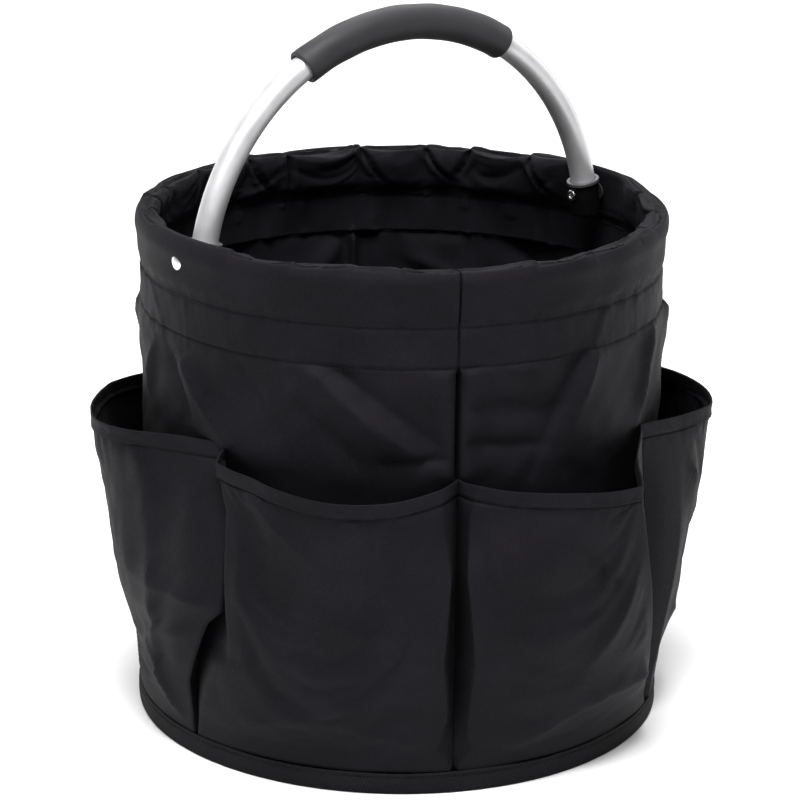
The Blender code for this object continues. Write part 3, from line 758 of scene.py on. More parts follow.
POCKETS = {
    "front_left": {
        "mouth": [(-20.8, 0.8, 197.5), (-21.2, 6, 194), (-20.8, 12.2, 190.5), (-16, 15.5, 189.5),
                  (-10.5, 18, 188.5), (-4, 23, 186), (6, 29, 184), (16, 27.5, 185),
                  (25, 14.5, 187.5), (28.5, 5, 188.5), (30, 0.5, 189)],
        "middle": [(-26, 0.8), (-17.2, 9), (-16, 19.8), (-11, 20.5), (-4, 22), (4, 23.5),
                   (13, 23.5), (20, 22), (27.4, 19.5), (28.3, 9), (30, 0.8)],
        "low": [(-30, 0.8), (-27, 5), (-23, 10.5), (-16, 11.5), (-7, 12), (2, 12.5),
                (10, 12.2), (18, 11.8), (28, 10.5), (28.8, 5), (30, 0.8)],
    },
    "front_right": {
        "mouth": [(-30, 0.5, 189), (-28.6, 5, 188), (-26.5, 10, 187.5), (-21.5, 19, 186),
                  (-16, 26, 185), (-10.5, 32, 184), (-5, 35.5, 182), (-1, 37, 181),
                  (3.0, 38, 180.5), (10, 17, 188.5), (22, 0.8, 195)],
        "middle": [(-30, 0.8), (-29, 9), (-28.2, 18.5), (-22, 21), (-14, 23.5), (-5, 26),
                   (2, 28.5), (6.5, 29.7), (10.6, 30), (17, 12), (27, 0.8)],
        "low": [(-30, 0.8), (-28.8, 5), (-27.6, 10.5), (-20, 12), (-12, 13), (-3, 14),
                (6, 15), (13, 15.3), (19.5, 14.5), (24, 6), (30, 0.8)],
    },
    "left": {
        "mouth": [(-27, 0.5, 191), (-22, 11, 191.3), (-16.3, 20.9, 191.5), (-8, 26.7, 192),
                  (0.4, 31.6, 192.6), (9, 33.2, 193.8), (17.5, 25.5, 195.5), (27, 9.5, 197),
                  (36.5, 2.4, 198), (38, 1.5, 198), (39, 0.6, 198)],
        "middle": [(-27, 0.8), (-24, 6), (-19, 13), (-12, 17.5), (-4, 20), (4, 21.5),
                   (13, 21.5), (25, 19.5), (38.5, 14.5), (37, 6), (34, 0.8)],
        "low": [(-30, 0.8), (-27, 2.5), (-23, 3.8), (-16, 4.8), (-8, 6), (2, 8.4),
                (12, 10.5), (21, 11.5), (31, 10.5), (30.6, 5), (30, 0.8)],
    },
    "right": {
        "mouth": [(-38, 0.8, 195), (-34, 5, 194), (-27, 14.5, 192), (-21, 26, 192),
                  (-17, 31.5, 191.5), (-12, 32, 192), (-7, 29, 193), (-2, 22, 194),
                  (4, 13, 194), (12, 5, 195), (23, 0.8, 197)],
        "middle": [(-33, 0.8), (-30, 10), (-26, 18), (-17, 22.5), (-9, 24.5), (-2, 24.5),
                   (6, 22.5), (14, 19.5), (21, 15), (25, 8), (27, 0.8)],
        "low": [(-30, 0.8), (-28, 4.5), (-25.5, 9), (-16, 10), (-8, 10.5), (0, 10.5),
                (8, 10.5), (16, 10), (24, 9), (27, 4.5), (30, 0.8)],
    },
    "rear_right": {
        "mouth": [(-37, 0.8, 197), (-33, 8, 195), (-28, 17, 193), (-20, 25, 190),
                  (-12, 29, 187), (-2, 30.5, 185), (8, 29, 184), (17, 25, 185),
                  (25, 14, 187), (28.4, 6, 188.5), (30, 0.5, 190)],
        "middle": [(-33, 0.8), (-30, 9), (-26.5, 18), (-18, 21), (-9, 22.5), (1, 24),
                   (11, 23.5), (20, 21.5), (27.6, 18.5), (28.6, 9), (30, 0.8)],
        "low": [(-30, 0.8), (-28, 4.5), (-26, 9.5), (-16, 11), (-8, 12), (0, 12),
                (8, 12), (17, 11), (26.5, 9.5), (28, 4.5), (30, 0.8)],
    },
    "rear_left": {
        "mouth": [(-30, 0.5, 190), (-28.4, 6, 188.5), (-25.5, 14, 187), (-18, 23, 185.5),
                  (-9, 29, 184), (1, 31, 185), (11, 28, 187), (20, 21, 190),
                  (28, 13, 193), (34, 6, 195), (37, 0.8, 197)],
        "middle": [(-30, 0.8), (-28.6, 9), (-27.6, 18.5), (-20, 21), (-11, 23.5), (-1, 24),
                   (9, 23), (18, 21), (27, 17.5), (31, 8), (33, 0.8)],
        "low": [(-30, 0.8), (-28, 4.5), (-26.5, 9.5), (-17, 11), (-8, 12), (0, 12),
                (8, 12), (16, 11), (26, 9.5), (28, 4.5), (30, 0.8)],
    },
}
# Where the left and the right crease run: (height in millimetres, degrees from the pocket's middle).
CREASES = {
    "front_left": ([(16, -28.9), (30, -27), (48, -24), (66, -20), (74, -16), (110, -16), (161, -16.5),
                    (190, -20.5)],
                   [(12, 29.4), (19, 28.9), (28, 26.3), (50, 28.1), (85, 26.7), (135, 27.8), (186, 25.5)]),
    "front_right": ([(12, -29.4), (20, -28.6), (27, -26.5), (36, -27.6), (50, -27.7), (85, -27.2), (135, -29),
                     (170, -28.4), (187, -26.5)],
                    [(12, 28.5), (20, 26), (42, 20.8), (72, 15), (130, 8), (180, 3.2)]),
    "left": ([(12, -28.6), (50, -23), (110, -19), (190, -16.5)],
             [(12, 29.6), (30, 30.4), (48, 31.2), (88, 38.5), (98, 42.5), (110, 43.2),
              (150, 43.2), (172, 41), (186, 36.5)]),
}
CREASES["right"] = ([(12, -28.6), (50, -25.5), (110, -26), (192, -27)],
                    [(12, 28.6), (50, 24), (110, 21), (194, 4)])
CREASES["rear_right"] = ([(12, -28.6), (30, -26), (50, -26.5), (110, -26.5), (190, -28)],
                         CREASES["front_left"][1])
CREASES["rear_left"] = (CREASES["front_right"][0],
                        [(12, 28.6), (30, 25), (66, 21), (74, 26), (110, 27), (190, 28)])
POCKET_KIND = {1: "front_right", 2: "right", 3: "rear_right", 4: "rear_left", 5: "left", 6: "front_left"}
LEVELS = [POCKET_FOOT + 0.4 * MM, 50 * MM, 110 * MM]     # heights of the foot, low and middle outlines
COLUMN_STEPS = (8, 9, 9, 9, 10, 10, 9, 9, 9, 8)
LEFT_CREASE, RIGHT_CREASE, LAST = 17, 73, 90             # columns of the creases and of the right seam
PROFILE = [(12.0, 3.4), (26, 5.3), (34, 7.4), (50, 11.3), (66, 15.6), (82, 20.0), (98, 23.6), (113, 26.5),
           (130, 28.4), (145, 29.4), (160, 30.3), (190, 31.5)]   # height and stand-off of a side view, mm


def stand_off(height):
    """How far the fullest pocket stands off the body at some heights."""
    heights, depths = zip(*PROFILE)
    return np.interp(height / MM, heights, depths) * MM


def outline(points):
    """An outline through control points, smooth but for its two creases."""
    points = np.asarray(points, float)
    parts = [through(points[a:b + 1], COLUMN_STEPS[a:b])[:-1] for a, b in ((0, 2), (2, 8), (8, 10))]
    return np.vstack([*parts, points[-1:]])


def moved_creases(angles, heights, lines):
    """Bends the columns sideways so that the two creases follow their lines."""
    column = np.arange(LAST + 1)
    for crease, seam, inner, line in ((LEFT_CREASE, 0, 40, lines[0]), (RIGHT_CREASE, LAST, 50, lines[1])):
        at, wanted = zip(*line)
        shift = np.interp(heights / MM, at, wanted) - angles[:, crease]
        toward_seam = np.clip((column - seam) / (crease - seam), 0, 1)
        across_face = ease((column - inner) / (crease - inner), 0, 1)
        beyond = (column - crease) * (seam - crease) > 0
        angles = angles + shift[:, None] * np.where(beyond, toward_seam, across_face)
    return angles


def pocket_surface(kind, centre):
    """The pocket's outer face as a grid, from its foot to its mouth."""
    shape = POCKETS[kind]
    mouth = outline(shape["mouth"])
    levels = [outline(FOOT_OUT), outline(shape["low"]), outline(shape["middle"]), mouth[:, :2]]
    heights = [*LEVELS, 186 * MM]
    angles = np.array([level[:, 0] for level in levels])
    fullness = np.array([level[:, 1] * MM / stand_off(h) for level, h in zip(levels, heights)])
    rise = np.concatenate([np.linspace(0, 0.915, 80)[:-1], np.linspace(0.915, 1, 18)])[:, None]
    low = LEVELS[0]
    z = low + rise * (mouth[None, :, 2] * MM - low)
    share = (low + rise * (heights[-1] - low)).ravel()
    knots = np.array(heights)
    angle_at = np.array([smooth_between(share, knots, angles[:, c]) for c in range(LAST + 1)]).T
    full_at = np.array([smooth_between(share, knots, fullness[:, c]) for c in range(LAST + 1)]).T
    radius = SEAT_R + 0.3 * MM + full_at * stand_off(share)[:, None]
    return polar(centre + moved_creases(angle_at, share, CREASES[kind]), radius, z)


def smooth_between(x, knots, values):
    """Interpolation without overshoot between a few knots."""
    index = np.clip(np.searchsorted(knots, x) - 1, 0, len(knots) - 2)
    step = np.diff(knots)
    rate = np.diff(values) / step
    both = rate[:-1] * rate[1:]
    inner = np.where(both > 0, 2 * both / np.where(both > 0, rate[:-1] + rate[1:], 1), 0)
    slopes = np.concatenate([rate[:1], inner, rate[-1:]])
    t = (x - knots[index]) / step[index]
    h00 = (1 + 2 * t) * (1 - t) ** 2
    h10 = t * (1 - t) ** 2
    h01 = t * t * (3 - 2 * t)
    h11 = t * t * (t - 1)
    return (h00 * values[index] + h10 * step[index] * slopes[index]
            + h01 * values[index + 1] + h11 * step[index] * slopes[index + 1])


HEM = 8 * MM
# The turned-over hem: millimetres inward from the mouth's edge and millimetres down.
HEM_TURN = [(0.15, -0.35), (0.7, -0.55), (1.25, -0.1), (1.35, 1.0), (1.3, 3.0), (1.2, 5.0), (1.0, 7.0),
            (0.9, 8.0)]


def hemmed(grid):
    """Adds the hem: the cloth turns over at the mouth and comes down inside."""
    normal = normals_of(grid)[-1]
    flat = normal * np.array([1, 1, 0])
    inward = -flat / np.maximum(np.linalg.norm(flat, axis=1, keepdims=True), 1e-9)
    mouth = grid[-1]
    rows = []
    for depth, drop in HEM_TURN:
        rows.append(mouth + inward * depth * MM - np.array([0, 0, drop * MM]))
    return np.concatenate([grid, np.array(rows)], 0)


def pocket_relief(grid, seed):
    """Moves the pocket's face along its normals: hem band, stitch dent and unevenness."""
    uv = sheet_uv(grid)
    x, y = uv[..., 0] - uv[0, -1, 0] / 2, grid[..., 2]
    from_mouth = grid[-1][None, :, 2] - grid[..., 2]
    band = 0.6 * MM * (1 - ease(from_mouth, HEM - 1.2 * MM, HEM))
    dent = -1.1 * MM * np.exp(-((from_mouth - HEM) / (0.9 * MM))**2)
    wavy = 0.9 * MM * ripple(x, y, 55 * MM, seed) + 0.3 * MM * ripple(x, y, 20 * MM, seed + 1)
    pucker = 0.25 * MM * ripple(x, y * 0.4, 8 * MM, seed + 2) * np.exp(-((from_mouth - HEM) / (7 * MM))**2)
    held = ease(y, LEVELS[0] + 2 * MM, LEVELS[0] + 25 * MM)
    columns = np.linspace(0, 1, grid.shape[1])[None, :]
    from_crease = np.minimum(columns * LAST - LEFT_CREASE, RIGHT_CREASE - columns * LAST)
    sides = ease(from_crease, 0, 7)
    amount = wavy * held * sides * ease(from_mouth, -1 * MM, 26 * MM) + pucker + band + dent
    return grid + normals_of(grid) * amount[..., None]


def crease_pocket(grid, folds):
    """Presses a pocket's main creases into its settled face."""
    uv = sheet_uv(grid)
    x, y = uv[..., 0] - uv[0, -1, 0] / 2, grid[..., 2]
    from_mouth = grid[-1][None, :, 2] - y
    column = np.arange(grid.shape[1])[None, :]
    free = ease(np.minimum(column - LEFT_CREASE, RIGHT_CREASE - column), 0, 6)
    free = free * ease(y, LEVELS[0] + 2 * MM, LEVELS[0] + 16 * MM) * ease(from_mouth, 6 * MM, 18 * MM)
    relief = CREASE_GAIN * sum(fold(x, y, line, FACE_R) for line in folds) * free
    return grid + normals_of(grid) * relief[..., None]


def settle_pocket(grid):
    """The pocket's cloth crumples a little, held at its seams, its foot and, softly, its mouth."""
    columns = np.linspace(0, 1, grid.shape[1])[None, :]
    level = grid[..., 2].mean(1)
    rise = ((level - level[0]) / (level[-1] - level[0]))[:, None]
    from_crease = np.minimum(columns * LAST - LEFT_CREASE, RIGHT_CREASE - columns * LAST)
    seams = 1 - ease(np.minimum(columns, 1 - columns), 0.0, 0.04)
    sides = np.maximum(seams, 0.75 * (1 - ease(from_crease, 0, 11)))
    foot = 1 - ease(rise, 0.0, 0.08)
    mouth = 0.5 * ease(rise, 0.93, 1.0)
    firm = np.clip(np.maximum.reduce(np.broadcast_arrays(sides, foot, mouth, 0.05 + 0 * rise)), 0, 1)
    return drape(grid, firm, spare=(0.015, 0.02), bending=3.0, frames=14)


FACE_R = SEAT_R + 24 * MM       # about where the pockets' faces are
# The folds of each kind of pocket, like the wall's but in degrees from the pocket's middle.
POCKET_FOLDS = {
    "front_left": [
        (-13, 188, -1, 150, 2.4, 5, 10),
        (2, 108, 21, 86, 1.8, 3.5, 9),
        (-14, 34, 6, 58, 2.0, 9, 4),
        (24, 30, 4, 44, 2.0, 4, 9),
        (-14, 74, -4, 100, 1.4, 4, 9),
    ],
    "front_right": [
        (-29, 168, -17, 114, -2.2, 3.5, 8),
        (-8, 166, 4, 120, -2.0, 3.5, 9),
        (19, 50, -3, 49, 3.4, 9, 5),
        (1, 50, -22, 22, 3.0, 4, 9),
        (8, 120, -4, 70, 1.8, 8, 4),
    ],
    "left": [
        (9, 205, 17, 60, 3.2, 5, 13),
        (16, 104, 34, 107, 2.6, 4, 8),
        (13, 70, 30, 88, 2.0, 4, 7),
        (12, 66, 28, 14, 3.6, 5, 8),
        (-20, 120, -6, 70, 2.2, 8, 9),
    ],
    "right": [
        (-18, 160, -8, 112, 2.6, 5, 10),
        (-18, 64, 2, 44, 2.6, 5, 9),
        (14, 120, 2, 84, 2.0, 8, 4),
    ],
}
POCKET_FOLDS["rear_right"] = POCKET_FOLDS["left"]
POCKET_FOLDS["rear_left"] = POCKET_FOLDS["front_left"]


def build_pockets():
    """The six pockets, each settled and creased; returns their grids for the stitching."""
    grids = {}
    for number in range(1, 7):
        centre = FRONT_SEAM + POCKET_TURN * (number - 0.5)
        kind = POCKET_KIND[number]
        grid = settle_pocket(pocket_relief(pocket_surface(kind, centre), 40 + 5 * number))
        grid = crease_pocket(grid, POCKET_FOLDS[kind])
        grids[number] = grid
        piece = cloth_piece(f"pocket_cloth_{number}", hemmed(grid), OXFORD)
        place(piece, "bag", "oxford_fabric", f"pocket_{number}")
    return grids


# ------------------------------------------------------------------ base
TAPE_SEWN = BINDING_TOP - 2.4 * MM      # height of the stitches along the tape


def build_base():
    """Binding tape folded over the base seam."""
    angles = np.arange(0, 360, 0.6)
    section = through([
        (SEAT_R - 6 * MM, 0.75 * MM), (BASE_R - 4.2 * MM, 0.05 * MM), (BASE_R - 1.2 * MM, 0.1 * MM),
        (BASE_R - 0.25 * MM, 1.0 * MM), (BASE_R, 3 * MM), (BASE_R - 0.1 * MM, BINDING_TOP / 2),
        (BASE_R - 0.15 * MM, TAPE_SEWN), (BASE_R - 0.3 * MM, BINDING_TOP - 0.5 * MM),
        (BASE_R - 0.9 * MM, BINDING_TOP), (BASE_R - 1.5 * MM, BINDING_TOP - 0.6 * MM)],
        (5, 4, 4, 4, 5, 5, 4, 3, 3))
    angle, radius = np.meshgrid(angles, section[:, 0])
    height = np.broadcast_to(section[:, 1:], angle.shape)
    x = np.radians(angle) * BASE_R
    lively = ease(height, 1.5 * MM, 5 * MM)
    dent = -0.3 * MM * np.exp(-((height - TAPE_SEWN) / (0.7 * MM))**2)
    radius = radius + (0.22 * MM * ripple(x, height, 40 * MM, 71) + dent) * lively - 0.1 * MM * lively
    height = height + 0.5 * MM * ripple(x, 0 * x, 60 * MM, 72) * ease(height, 6 * MM, BINDING_TOP)
    tape = cloth_piece("base_binding_tape", polar(angle, radius, height), TAPE, closed=True, thick=0.5 * MM)
    place(tape, "bag", "binding_tape", "base_binding")


def disc_sheet(name, radius, height, relief, look):
    """A round sheet as a polar grid; relief gives its unevenness in metres from x, y and radius."""
    inner = np.linspace(0.4 * MM, radius - 6 * MM, 60)
    radii = np.concatenate([inner, np.linspace(radius - 5 * MM, radius, 6)])
    angle, r = np.meshgrid(np.arange(0, 360, 1.5), radii)
    points = polar(angle, r, height)
    points[..., 2] += relief(points[..., 0], points[..., 1], r)
    closed = np.concatenate([points, points[:, :1]], 1)
    rows, columns = closed.shape[:2]
    piece = mesh_object(name, closed, grid_faces(rows, columns), closed[..., :2], look)
    weld = piece.modifiers.new("join", "WELD")
    weld.merge_threshold = 0.00001
    shell = piece.modifiers.new("thickness", "SOLIDIFY")
    shell.thickness = 0.6 * MM
    shell.offset = 0
    return piece


def build_discs():
    def under(x, y, r):
        return 0.12 * MM * ripple(x, y, 50 * MM, 81) * ease(SEAT_R - r, 0, 20 * MM)

    def lining(x, y, r):
        loose = 0.8 * MM * ripple(x, y, 55 * MM, 82) + 0.5 * MM * abs(ripple(x, y, 30 * MM, 83))
        return loose * ease(LINING_R - r, 0, 15 * MM) + 1.2 * MM

    base = disc_sheet("base_cloth", SEAT_R - 1 * MM, 1.2 * MM, under, OXFORD)
    place(base, "bag", "oxford_fabric", "base_fabric")
    inside = disc_sheet("base_lining_cloth", LINING_R - 0.5 * MM, LINING_TOP - 1 * MM, lining, FACING)
    place(inside, "bag", "facing_fabric", "base_lining")


# ------------------------------------------------------------------ stitching
STITCH = 2.6 * MM
STITCH_SHOWN = 0.78             # share of a stitch's pitch that lies on the surface
THREAD_R = 0.17 * MM


def along_line(points, places, values):
    """Values of the points of a polyline at some lengths along it."""
    lengths = np.concatenate([[0], np.cumsum(np.linalg.norm(np.diff(points, axis=0), axis=1))])
    return np.stack([np.interp(places, lengths, values[:, i]) for i in range(3)], -1)


def unit(vectors):
    return vectors / np.maximum(np.linalg.norm(vectors, axis=1, keepdims=True), 1e-9)


# A stitch: place along its shown length, height and thickness in thread radii.
STITCH_SHAPE = [(-0.5, -0.5, 0.35), (-0.42, -0.05, 0.95), (-0.2, 0.28, 1.0), (0.0, 0.34, 1.0),
                (0.2, 0.28, 1.0), (0.42, -0.05, 0.95), (0.5, -0.5, 0.35)]


def one_stitch(middle, along, up, side):
    """Rings of one short thread that dips at both ends."""
    spins = np.arange(6) * math.pi / 3
    rings = []
    for step, rise, share in STITCH_SHAPE:
        centre = middle + along * step * STITCH * STITCH_SHOWN + up * rise * THREAD_R
        ring = np.outer(np.cos(spins), up) + np.outer(np.sin(spins), side)
        rings.append(centre + THREAD_R * share * ring)
    return np.array(rings)


def stitch_row(name, lines):
    """Stitches along lines of (points, outward normals)."""
    parts = []
    for points, outward in lines:
        length = np.linalg.norm(np.diff(points, axis=0), axis=1).sum()
        places = np.arange(0, length, STITCH) + STITCH / 2
        middle = along_line(points, places, points)
        along = unit(along_line(points, places + 0.3 * MM, points) - middle)
        up = unit(along_line(points, places, outward))
        side = np.cross(along, up)
        for frame_of_stitch in zip(middle[:-1], along, up, side):
            rings = one_stitch(*frame_of_stitch)
            parts.append((rings, grid_faces(*rings.shape[:2], closed=True)))
    place(joined(name, parts, THREAD), "bag", "facing_fabric")


def row_line(grid, height):
    """The line round a closed grid at one height, with its normals."""
    row = int(np.argmin(abs(grid[..., 2].mean(1) - height)))
    normals = normals_of(grid, True)[row]
    return np.vstack([grid[row], grid[row][:1]]), np.vstack([normals, normals[:1]])


def build_stitching(wall, pockets):
    """Both rows round the body, the pockets' hems and the row along the base's tape."""
    stitch_row("stitches_row_1", [row_line(wall, ROW_1)])
    stitch_row("stitches_row_2", [row_line(wall, ROW_2)])
    hems = []
    for grid in pockets.values():
        from_mouth = grid[-1, :, 2].mean() - grid[..., 2].mean(1)
        row = int(np.argmin(abs(from_mouth - HEM)))
        hems.append((grid[row], normals_of(grid)[row]))
    stitch_row("stitches_pocket_hems", hems)
    angle = np.arange(0, 360.5, 0.5)
    line = polar(angle, BASE_R - 0.25 * MM, TAPE_SEWN)
    outward = polar(angle, 1.0, 0.0)
    stitch_row("stitches_binding", [(line, outward)])


# ------------------------------------------------------------------ handle
TUBE_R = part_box("handle_tube")[1].y
GRIP_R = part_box("foam_grip")[1].y
SOCKET_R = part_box("handle_socket_right")[1].y
COLLAR_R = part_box("socket_collar_right")[1].y
SOCKET_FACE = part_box("handle_socket_right")[1].x     # the socket's flat face towards the rim
ARC_R = 141 * MM                                      # centre-line of the bent tube
ARC_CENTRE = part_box("handle_tube")[1].z - TUBE_R - ARC_R
GRIP_HALF = 74.5 * MM / ARC_R                          # radians
SOCKET_BOTTOM, SOCKET_TOP, COLLAR_TOP = -12.6 * MM, 7.0 * MM, 9.6 * MM     # above the pivots
SOCKET_FLOOR = SOCKET_BOTTOM + 2.5 * MM
BORE_R = TUBE_R + 0.3 * MM


def arc_turn(rise):
    """Angle from the top of the arc to a point of its centre-line, by its distance above the pivots."""
    return math.acos((PIVOT.z - ARC_CENTRE) / ARC_R) - rise / ARC_R


def bent(name, turns, radii, look, sides=64, flat=None, lumps=None):
    """A piece swept along the handle's arc through (turn, radius) stations, closed where it starts."""
    turns, radii = np.array(turns)[:, None], np.array(radii)[:, None]
    spin = np.linspace(0, 2 * math.pi, sides, endpoint=False)[None, :]
    if lumps is not None:
        radii = radii + lumps(turns * ARC_R, spin)
    reach = ARC_R + radii * np.cos(spin)
    points = np.stack([reach * np.sin(turns), radii * np.sin(spin) + 0 * turns,
                       ARC_CENTRE + reach * np.cos(turns)], -1)
    if flat is not None:
        points[..., 0] = np.clip(points[..., 0], -flat, flat)
    return mesh_object(name, points, grid_faces(*points.shape[:2], closed=True), None, look)


def fixed_normals(obj):
    """Turns the faces outward and keeps hard edges crisp."""
    bm = bmesh.new()
    bm.from_mesh(obj.data)
    bmesh.ops.remove_doubles(bm, verts=bm.verts, dist=0.000001)
    bmesh.ops.recalc_face_normals(bm, faces=bm.faces)
    bm.to_mesh(obj.data)
    bm.free()
    obj.data.set_sharp_from_angle(angle=math.radians(40))
    return obj


def lip(turn, out, inner, soft, side):
    """Stations of a rounded rim between an outer and an inner radius, at one end of a sleeve."""
    steps = np.linspace(0, math.pi / 2, 5)
    wall = [(turn - side * soft / ARC_R * (1 - math.sin(s)), out - soft * (1 - math.cos(s))) for s in steps]
    return wall + [(turn, inner + soft), (turn - side * soft / ARC_R, inner)]


def build_tube(metal):
    end = arc_turn(SOCKET_BOTTOM + 3 * MM)
    turns = np.linspace(-end, end, 181)
    stations = [(t, TUBE_R) for t in turns] + [(t, TUBE_R - 1.2 * MM) for t in turns[::-1]]
    stations.append(stations[0])
    turns, radii = zip(*stations)
    tube = fixed_normals(bent("aluminium_tube", turns, radii, metal, 72))
    place(tube, "handle", "satin_aluminium", "handle_tube")


def build_grip(foam):
    """The foam sleeve: ends cut square with a soft edge, and a slightly uneven skin."""
    soft = 0.7 * MM
    middle = np.linspace(-GRIP_HALF + 2.5 * soft / ARC_R, GRIP_HALF - 2.5 * soft / ARC_R, 90)
    right = lip(GRIP_HALF, GRIP_R, BORE_R + 0.2 * MM, soft, 1)
    left = lip(-GRIP_HALF, GRIP_R, BORE_R + 0.2 * MM, soft, -1)[::-1]
    bore = [(t, BORE_R + 0.2 * MM) for t in middle[::-1]]
    stations = left + [(t, GRIP_R) for t in middle] + right + bore + [left[0]]
    turns, radii = zip(*stations)

    def lumps(along, spin):
        outside = np.array(radii)[:, None] > BORE_R + soft
        return 0.16 * MM * ripple(along + 0 * spin, spin * GRIP_R, 26 * MM, 91) * outside

    grip = fixed_normals(bent("foam_grip_sleeve", turns, radii, foam, 72, lumps=lumps))
    place(grip, "handle", "grip_foam", "foam_grip")


def socket_stations():
    """Heights above the pivots and radii of a socket: floor, rounded foot, wall and bore."""
    soft = 1.0 * MM
    floor = [(SOCKET_BOTTOM, 0.0005 * MM), (SOCKET_BOTTOM, SOCKET_R - 2 * soft)]
    foot = [(SOCKET_BOTTOM + soft * (1 - math.cos(s)), SOCKET_R - soft * (1 - math.sin(s)))
            for s in np.linspace(0, math.pi / 2, 7)]
    wall = [(SOCKET_TOP - 1.4 * soft, SOCKET_R), (SOCKET_TOP - 0.5 * soft, SOCKET_R),
            (SOCKET_TOP - 0.1 * soft, SOCKET_R - 0.2 * soft), (SOCKET_TOP, SOCKET_R - 0.6 * soft)]
    bore = [(SOCKET_TOP, BORE_R), (SOCKET_FLOOR, BORE_R), (SOCKET_FLOOR, 0.0005 * MM)]
    return zip(*(floor + foot + wall + bore))


def collar_stations():
    """Heights above the pivots and radii of a collar, a ring with flattened sides."""
    bottom = SOCKET_TOP + 0.3 * MM
    bead = 0.5 * (COLLAR_TOP - bottom)
    loop = np.linspace(0, 2 * math.pi, 33)
    rises = bottom + bead + bead * np.clip(np.sin(loop) * 1.25, -1, 1)
    radii = 0.5 * (COLLAR_R + BORE_R) + 0.5 * (COLLAR_R - BORE_R) * np.clip(np.cos(loop) * 1.2, -1, 1)
    return rises, radii


def build_sockets(plastic, grey):
    for side, word in ((1, "right"), (-1, "left")):
        rises, radii = socket_stations()
        turns = [side * arc_turn(rise) for rise in rises]
        cup = fixed_normals(bent(f"socket_cup_{word}", turns, radii, plastic, 72, flat=SOCKET_FACE))
        place(cup, "handle", "socket_plastic", f"handle_socket_{word}")
        rises, radii = collar_stations()
        turns = [side * arc_turn(rise) for rise in rises]
        collar = fixed_normals(bent(f"collar_ring_{word}", turns, radii, grey, 72))
        place(collar, "handle", "collar_plastic", f"socket_collar_{word}")


def turned_piece(name, side, profile, look, sides=56):
    """A piece turned round the pivot axis from (distance from the middle, radius) points."""
    profile = np.array(profile)
    spin = np.linspace(0, 2 * math.pi, sides, endpoint=False)
    points = np.stack([
        np.repeat(side * profile[:, :1], sides, 1),
        PIVOT.y + np.outer(profile[:, 1], np.cos(spin)),
        PIVOT.z + np.outer(profile[:, 1], np.sin(spin))], -1)
    return fixed_normals(mesh_object(name, points, grid_faces(*points.shape[:2], closed=True), None, look))


def build_rivets(metal):
    """A domed head outside the casing, a shank, and an end rolled over like a small ring inside."""
    low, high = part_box("rivet_right")
    head_r = high.y
    roll_r, bore_r, shank_r = 3.5 * MM, 1.3 * MM, 2.0 * MM
    dome = 1.7 * MM
    seat = high.x - dome
    roll = 0.55 * MM
    middle_r, half = (roll_r + bore_r) / 2, (roll_r - bore_r) / 2
    bore_end, roll_end = low.x + 6 * MM, low.x + 2 * roll
    for side, word in ((1, "right"), (-1, "left")):
        ring = [(low.x + roll - roll * math.sin(t), middle_r - half * math.cos(t))
                for t in np.linspace(0, math.pi, 13)]
        bore = [(bore_end, 0.001 * MM), (bore_end, bore_r)]
        shank = [(roll_end, roll_r), (roll_end + 0.1 * MM, shank_r), (seat, shank_r), (seat, head_r)]
        cap = [(seat + 0.35 * MM + (dome - 0.35 * MM) * math.sin(s), head_r * math.cos(s))
               for s in np.linspace(0, math.pi / 2 - 0.001, 12)]
        rivet = turned_piece(f"rivet_{word}_turned", side, bore + ring + shank + cap, metal)
        place(rivet, "bag", "rivet_metal", f"rivet_{word}")


def build_handle():
    build_tube(satin_aluminium())
    build_grip(grip_foam())
    build_sockets(moulded("socket_nylon", (0.0025, 0.0025, 0.003), (0.005, 0.005, 0.0055), 0.38, gloss=0.2),
                  moulded("collar_nylon", (0.055, 0.055, 0.058), (0.080, 0.080, 0.084), 0.42, gloss=0.3))
    build_rivets(moulded("rivet_nickel", (0.72, 0.72, 0.73), (0.86, 0.86, 0.87), 0.22, 0.005 * MM, 900, 1.0))


def dress_hidden_parts():
    """Materials for the CAD nodes inside the cloth."""
    looks = {
        "base_board": moulded("board_fibre", (0.05, 0.045, 0.04), (0.09, 0.08, 0.07), 0.8, 0.05 * MM, 400),
        "rim_hoop": moulded("hoop_polypropylene", (0.02, 0.02, 0.02), (0.04, 0.04, 0.04), 0.4),
        "hoop_clip": moulded("clip_zinc", (0.5, 0.5, 0.52), (0.65, 0.65, 0.67), 0.35, 0.01 * MM, 700, 1.0),
    }
    looks["pivot_washer_right"] = moulded("washer_polyamide", (0.02, 0.02, 0.02), (0.03, 0.03, 0.03), 0.45)
    looks["pivot_washer_left"] = looks["pivot_washer_right"]
    for node, look in looks.items():
        slots = frame["nodes"][node].data.materials
        slots.clear()
        slots.append(look)


# ------------------------------------------------------------------ camera, floor and light
CAMERA_LENS = 136.3             # millimetres, on a 36 mm sensor
CAMERA_AWAY, CAMERA_HEIGHT = 1.747, 0.742       # metres from the bag's axis, and above the floor
CAMERA_DOWN, CAMERA_ROLL = 17.63, 0.62          # degrees


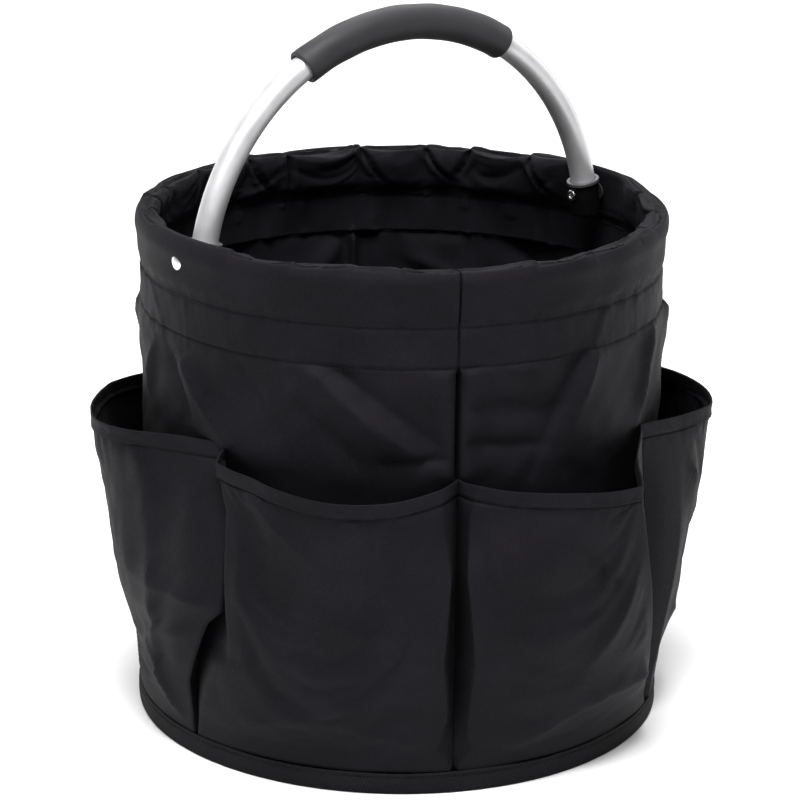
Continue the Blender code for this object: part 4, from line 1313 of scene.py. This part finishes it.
def build_camera():
    """Long lens, seen from the front left and a little above."""
    data = bpy.data.cameras.new("camera")
    data.sensor_width = 36.0
    data.lens = CAMERA_LENS
    data.clip_start, data.clip_end = 0.05, 50.0
    camera = bpy.data.objects.new("camera", data)
    bpy.context.scene.collection.objects.link(camera)
    turn, down, roll = math.radians(FRONT), math.radians(CAMERA_DOWN), math.radians(CAMERA_ROLL)
    ahead = Vector((-math.sin(turn) * math.cos(down), math.cos(turn) * math.cos(down), -math.sin(down)))
    right = Vector((math.cos(turn), math.sin(turn), 0))
    up = right.cross(ahead)
    tilted_right = math.cos(roll) * right + math.sin(roll) * up
    tilted_up = -math.sin(roll) * right + math.cos(roll) * up
    basis = Matrix((tilted_right, tilted_up, -ahead)).transposed().to_4x4()
    spot = polar(FRONT, CAMERA_AWAY, CAMERA_HEIGHT)
    camera.matrix_world = Matrix.Translation(spot) @ basis
    bpy.context.scene.camera = camera


def area_light(name, place_at, size, power, aim=(0, 0, 0.18)):
    data = bpy.data.lights.new(name, "AREA")
    data.shape = "RECTANGLE"
    data.size, data.size_y = size
    data.energy = power
    lamp = bpy.data.objects.new(name, data)
    bpy.context.scene.collection.objects.link(lamp)
    lamp.location = place_at
    lamp.rotation_mode = "QUATERNION"
    lamp.rotation_quaternion = (Vector(aim) - Vector(place_at)).to_track_quat("-Z", "Y")
    return lamp


def sky(world):
    """A pale room: brighter overhead than at eye level."""
    world.use_nodes = True
    tree = world.node_tree
    split = tree.nodes.new("ShaderNodeSeparateXYZ")
    tree.links.new(tree.nodes.new("ShaderNodeTexCoord").outputs["Generated"], split.inputs[0])
    level = tree.nodes.new("ShaderNodeMapRange")
    for socket, number in zip(level.inputs[1:5], (0.0, 0.9, 0.19, 0.30)):
        socket.default_value = number
    tree.links.new(split.outputs["Z"], level.inputs[0])
    background = tree.nodes["Background"]
    background.inputs["Color"].default_value = (1.0, 1.0, 1.0, 1.0)
    tree.links.new(level.outputs[0], background.inputs["Strength"])


def build_studio():
    half = 6.0
    corners = np.array([(-half, -half, 0), (half, -half, 0), (half, half, 0), (-half, half, 0)])
    floor = mesh_object("floor", corners, np.array([[0, 1, 2, 3]]), None, floor_paper())
    world = bpy.data.worlds.new("studio")
    bpy.context.scene.world = world
    sky(world)
    behind = polar(FRONT + 180, 2.3, 0)
    area_light("overhead", polar(FRONT - 8, 0.80, 2.1), (1.0, 1.0), 74)
    area_light("left_panel", polar(FRONT - 128, 1.35, 0.62), (0.5, 1.2), 3)
    area_light("right_panel", polar(FRONT + 124, 1.35, 0.62), (0.5, 1.2), 4)
    area_light("far_floor", polar(FRONT + 180, 2.3, 2.2), (1.6, 2.6), 68, behind)
    bpy.context.scene.view_settings.view_transform = "Standard"


def main():
    wall = build_body()
    pockets = build_pockets()
    build_base()
    build_discs()
    build_stitching(wall, pockets)
    build_handle()
    dress_hidden_parts()
    build_camera()
    build_studio()


main()
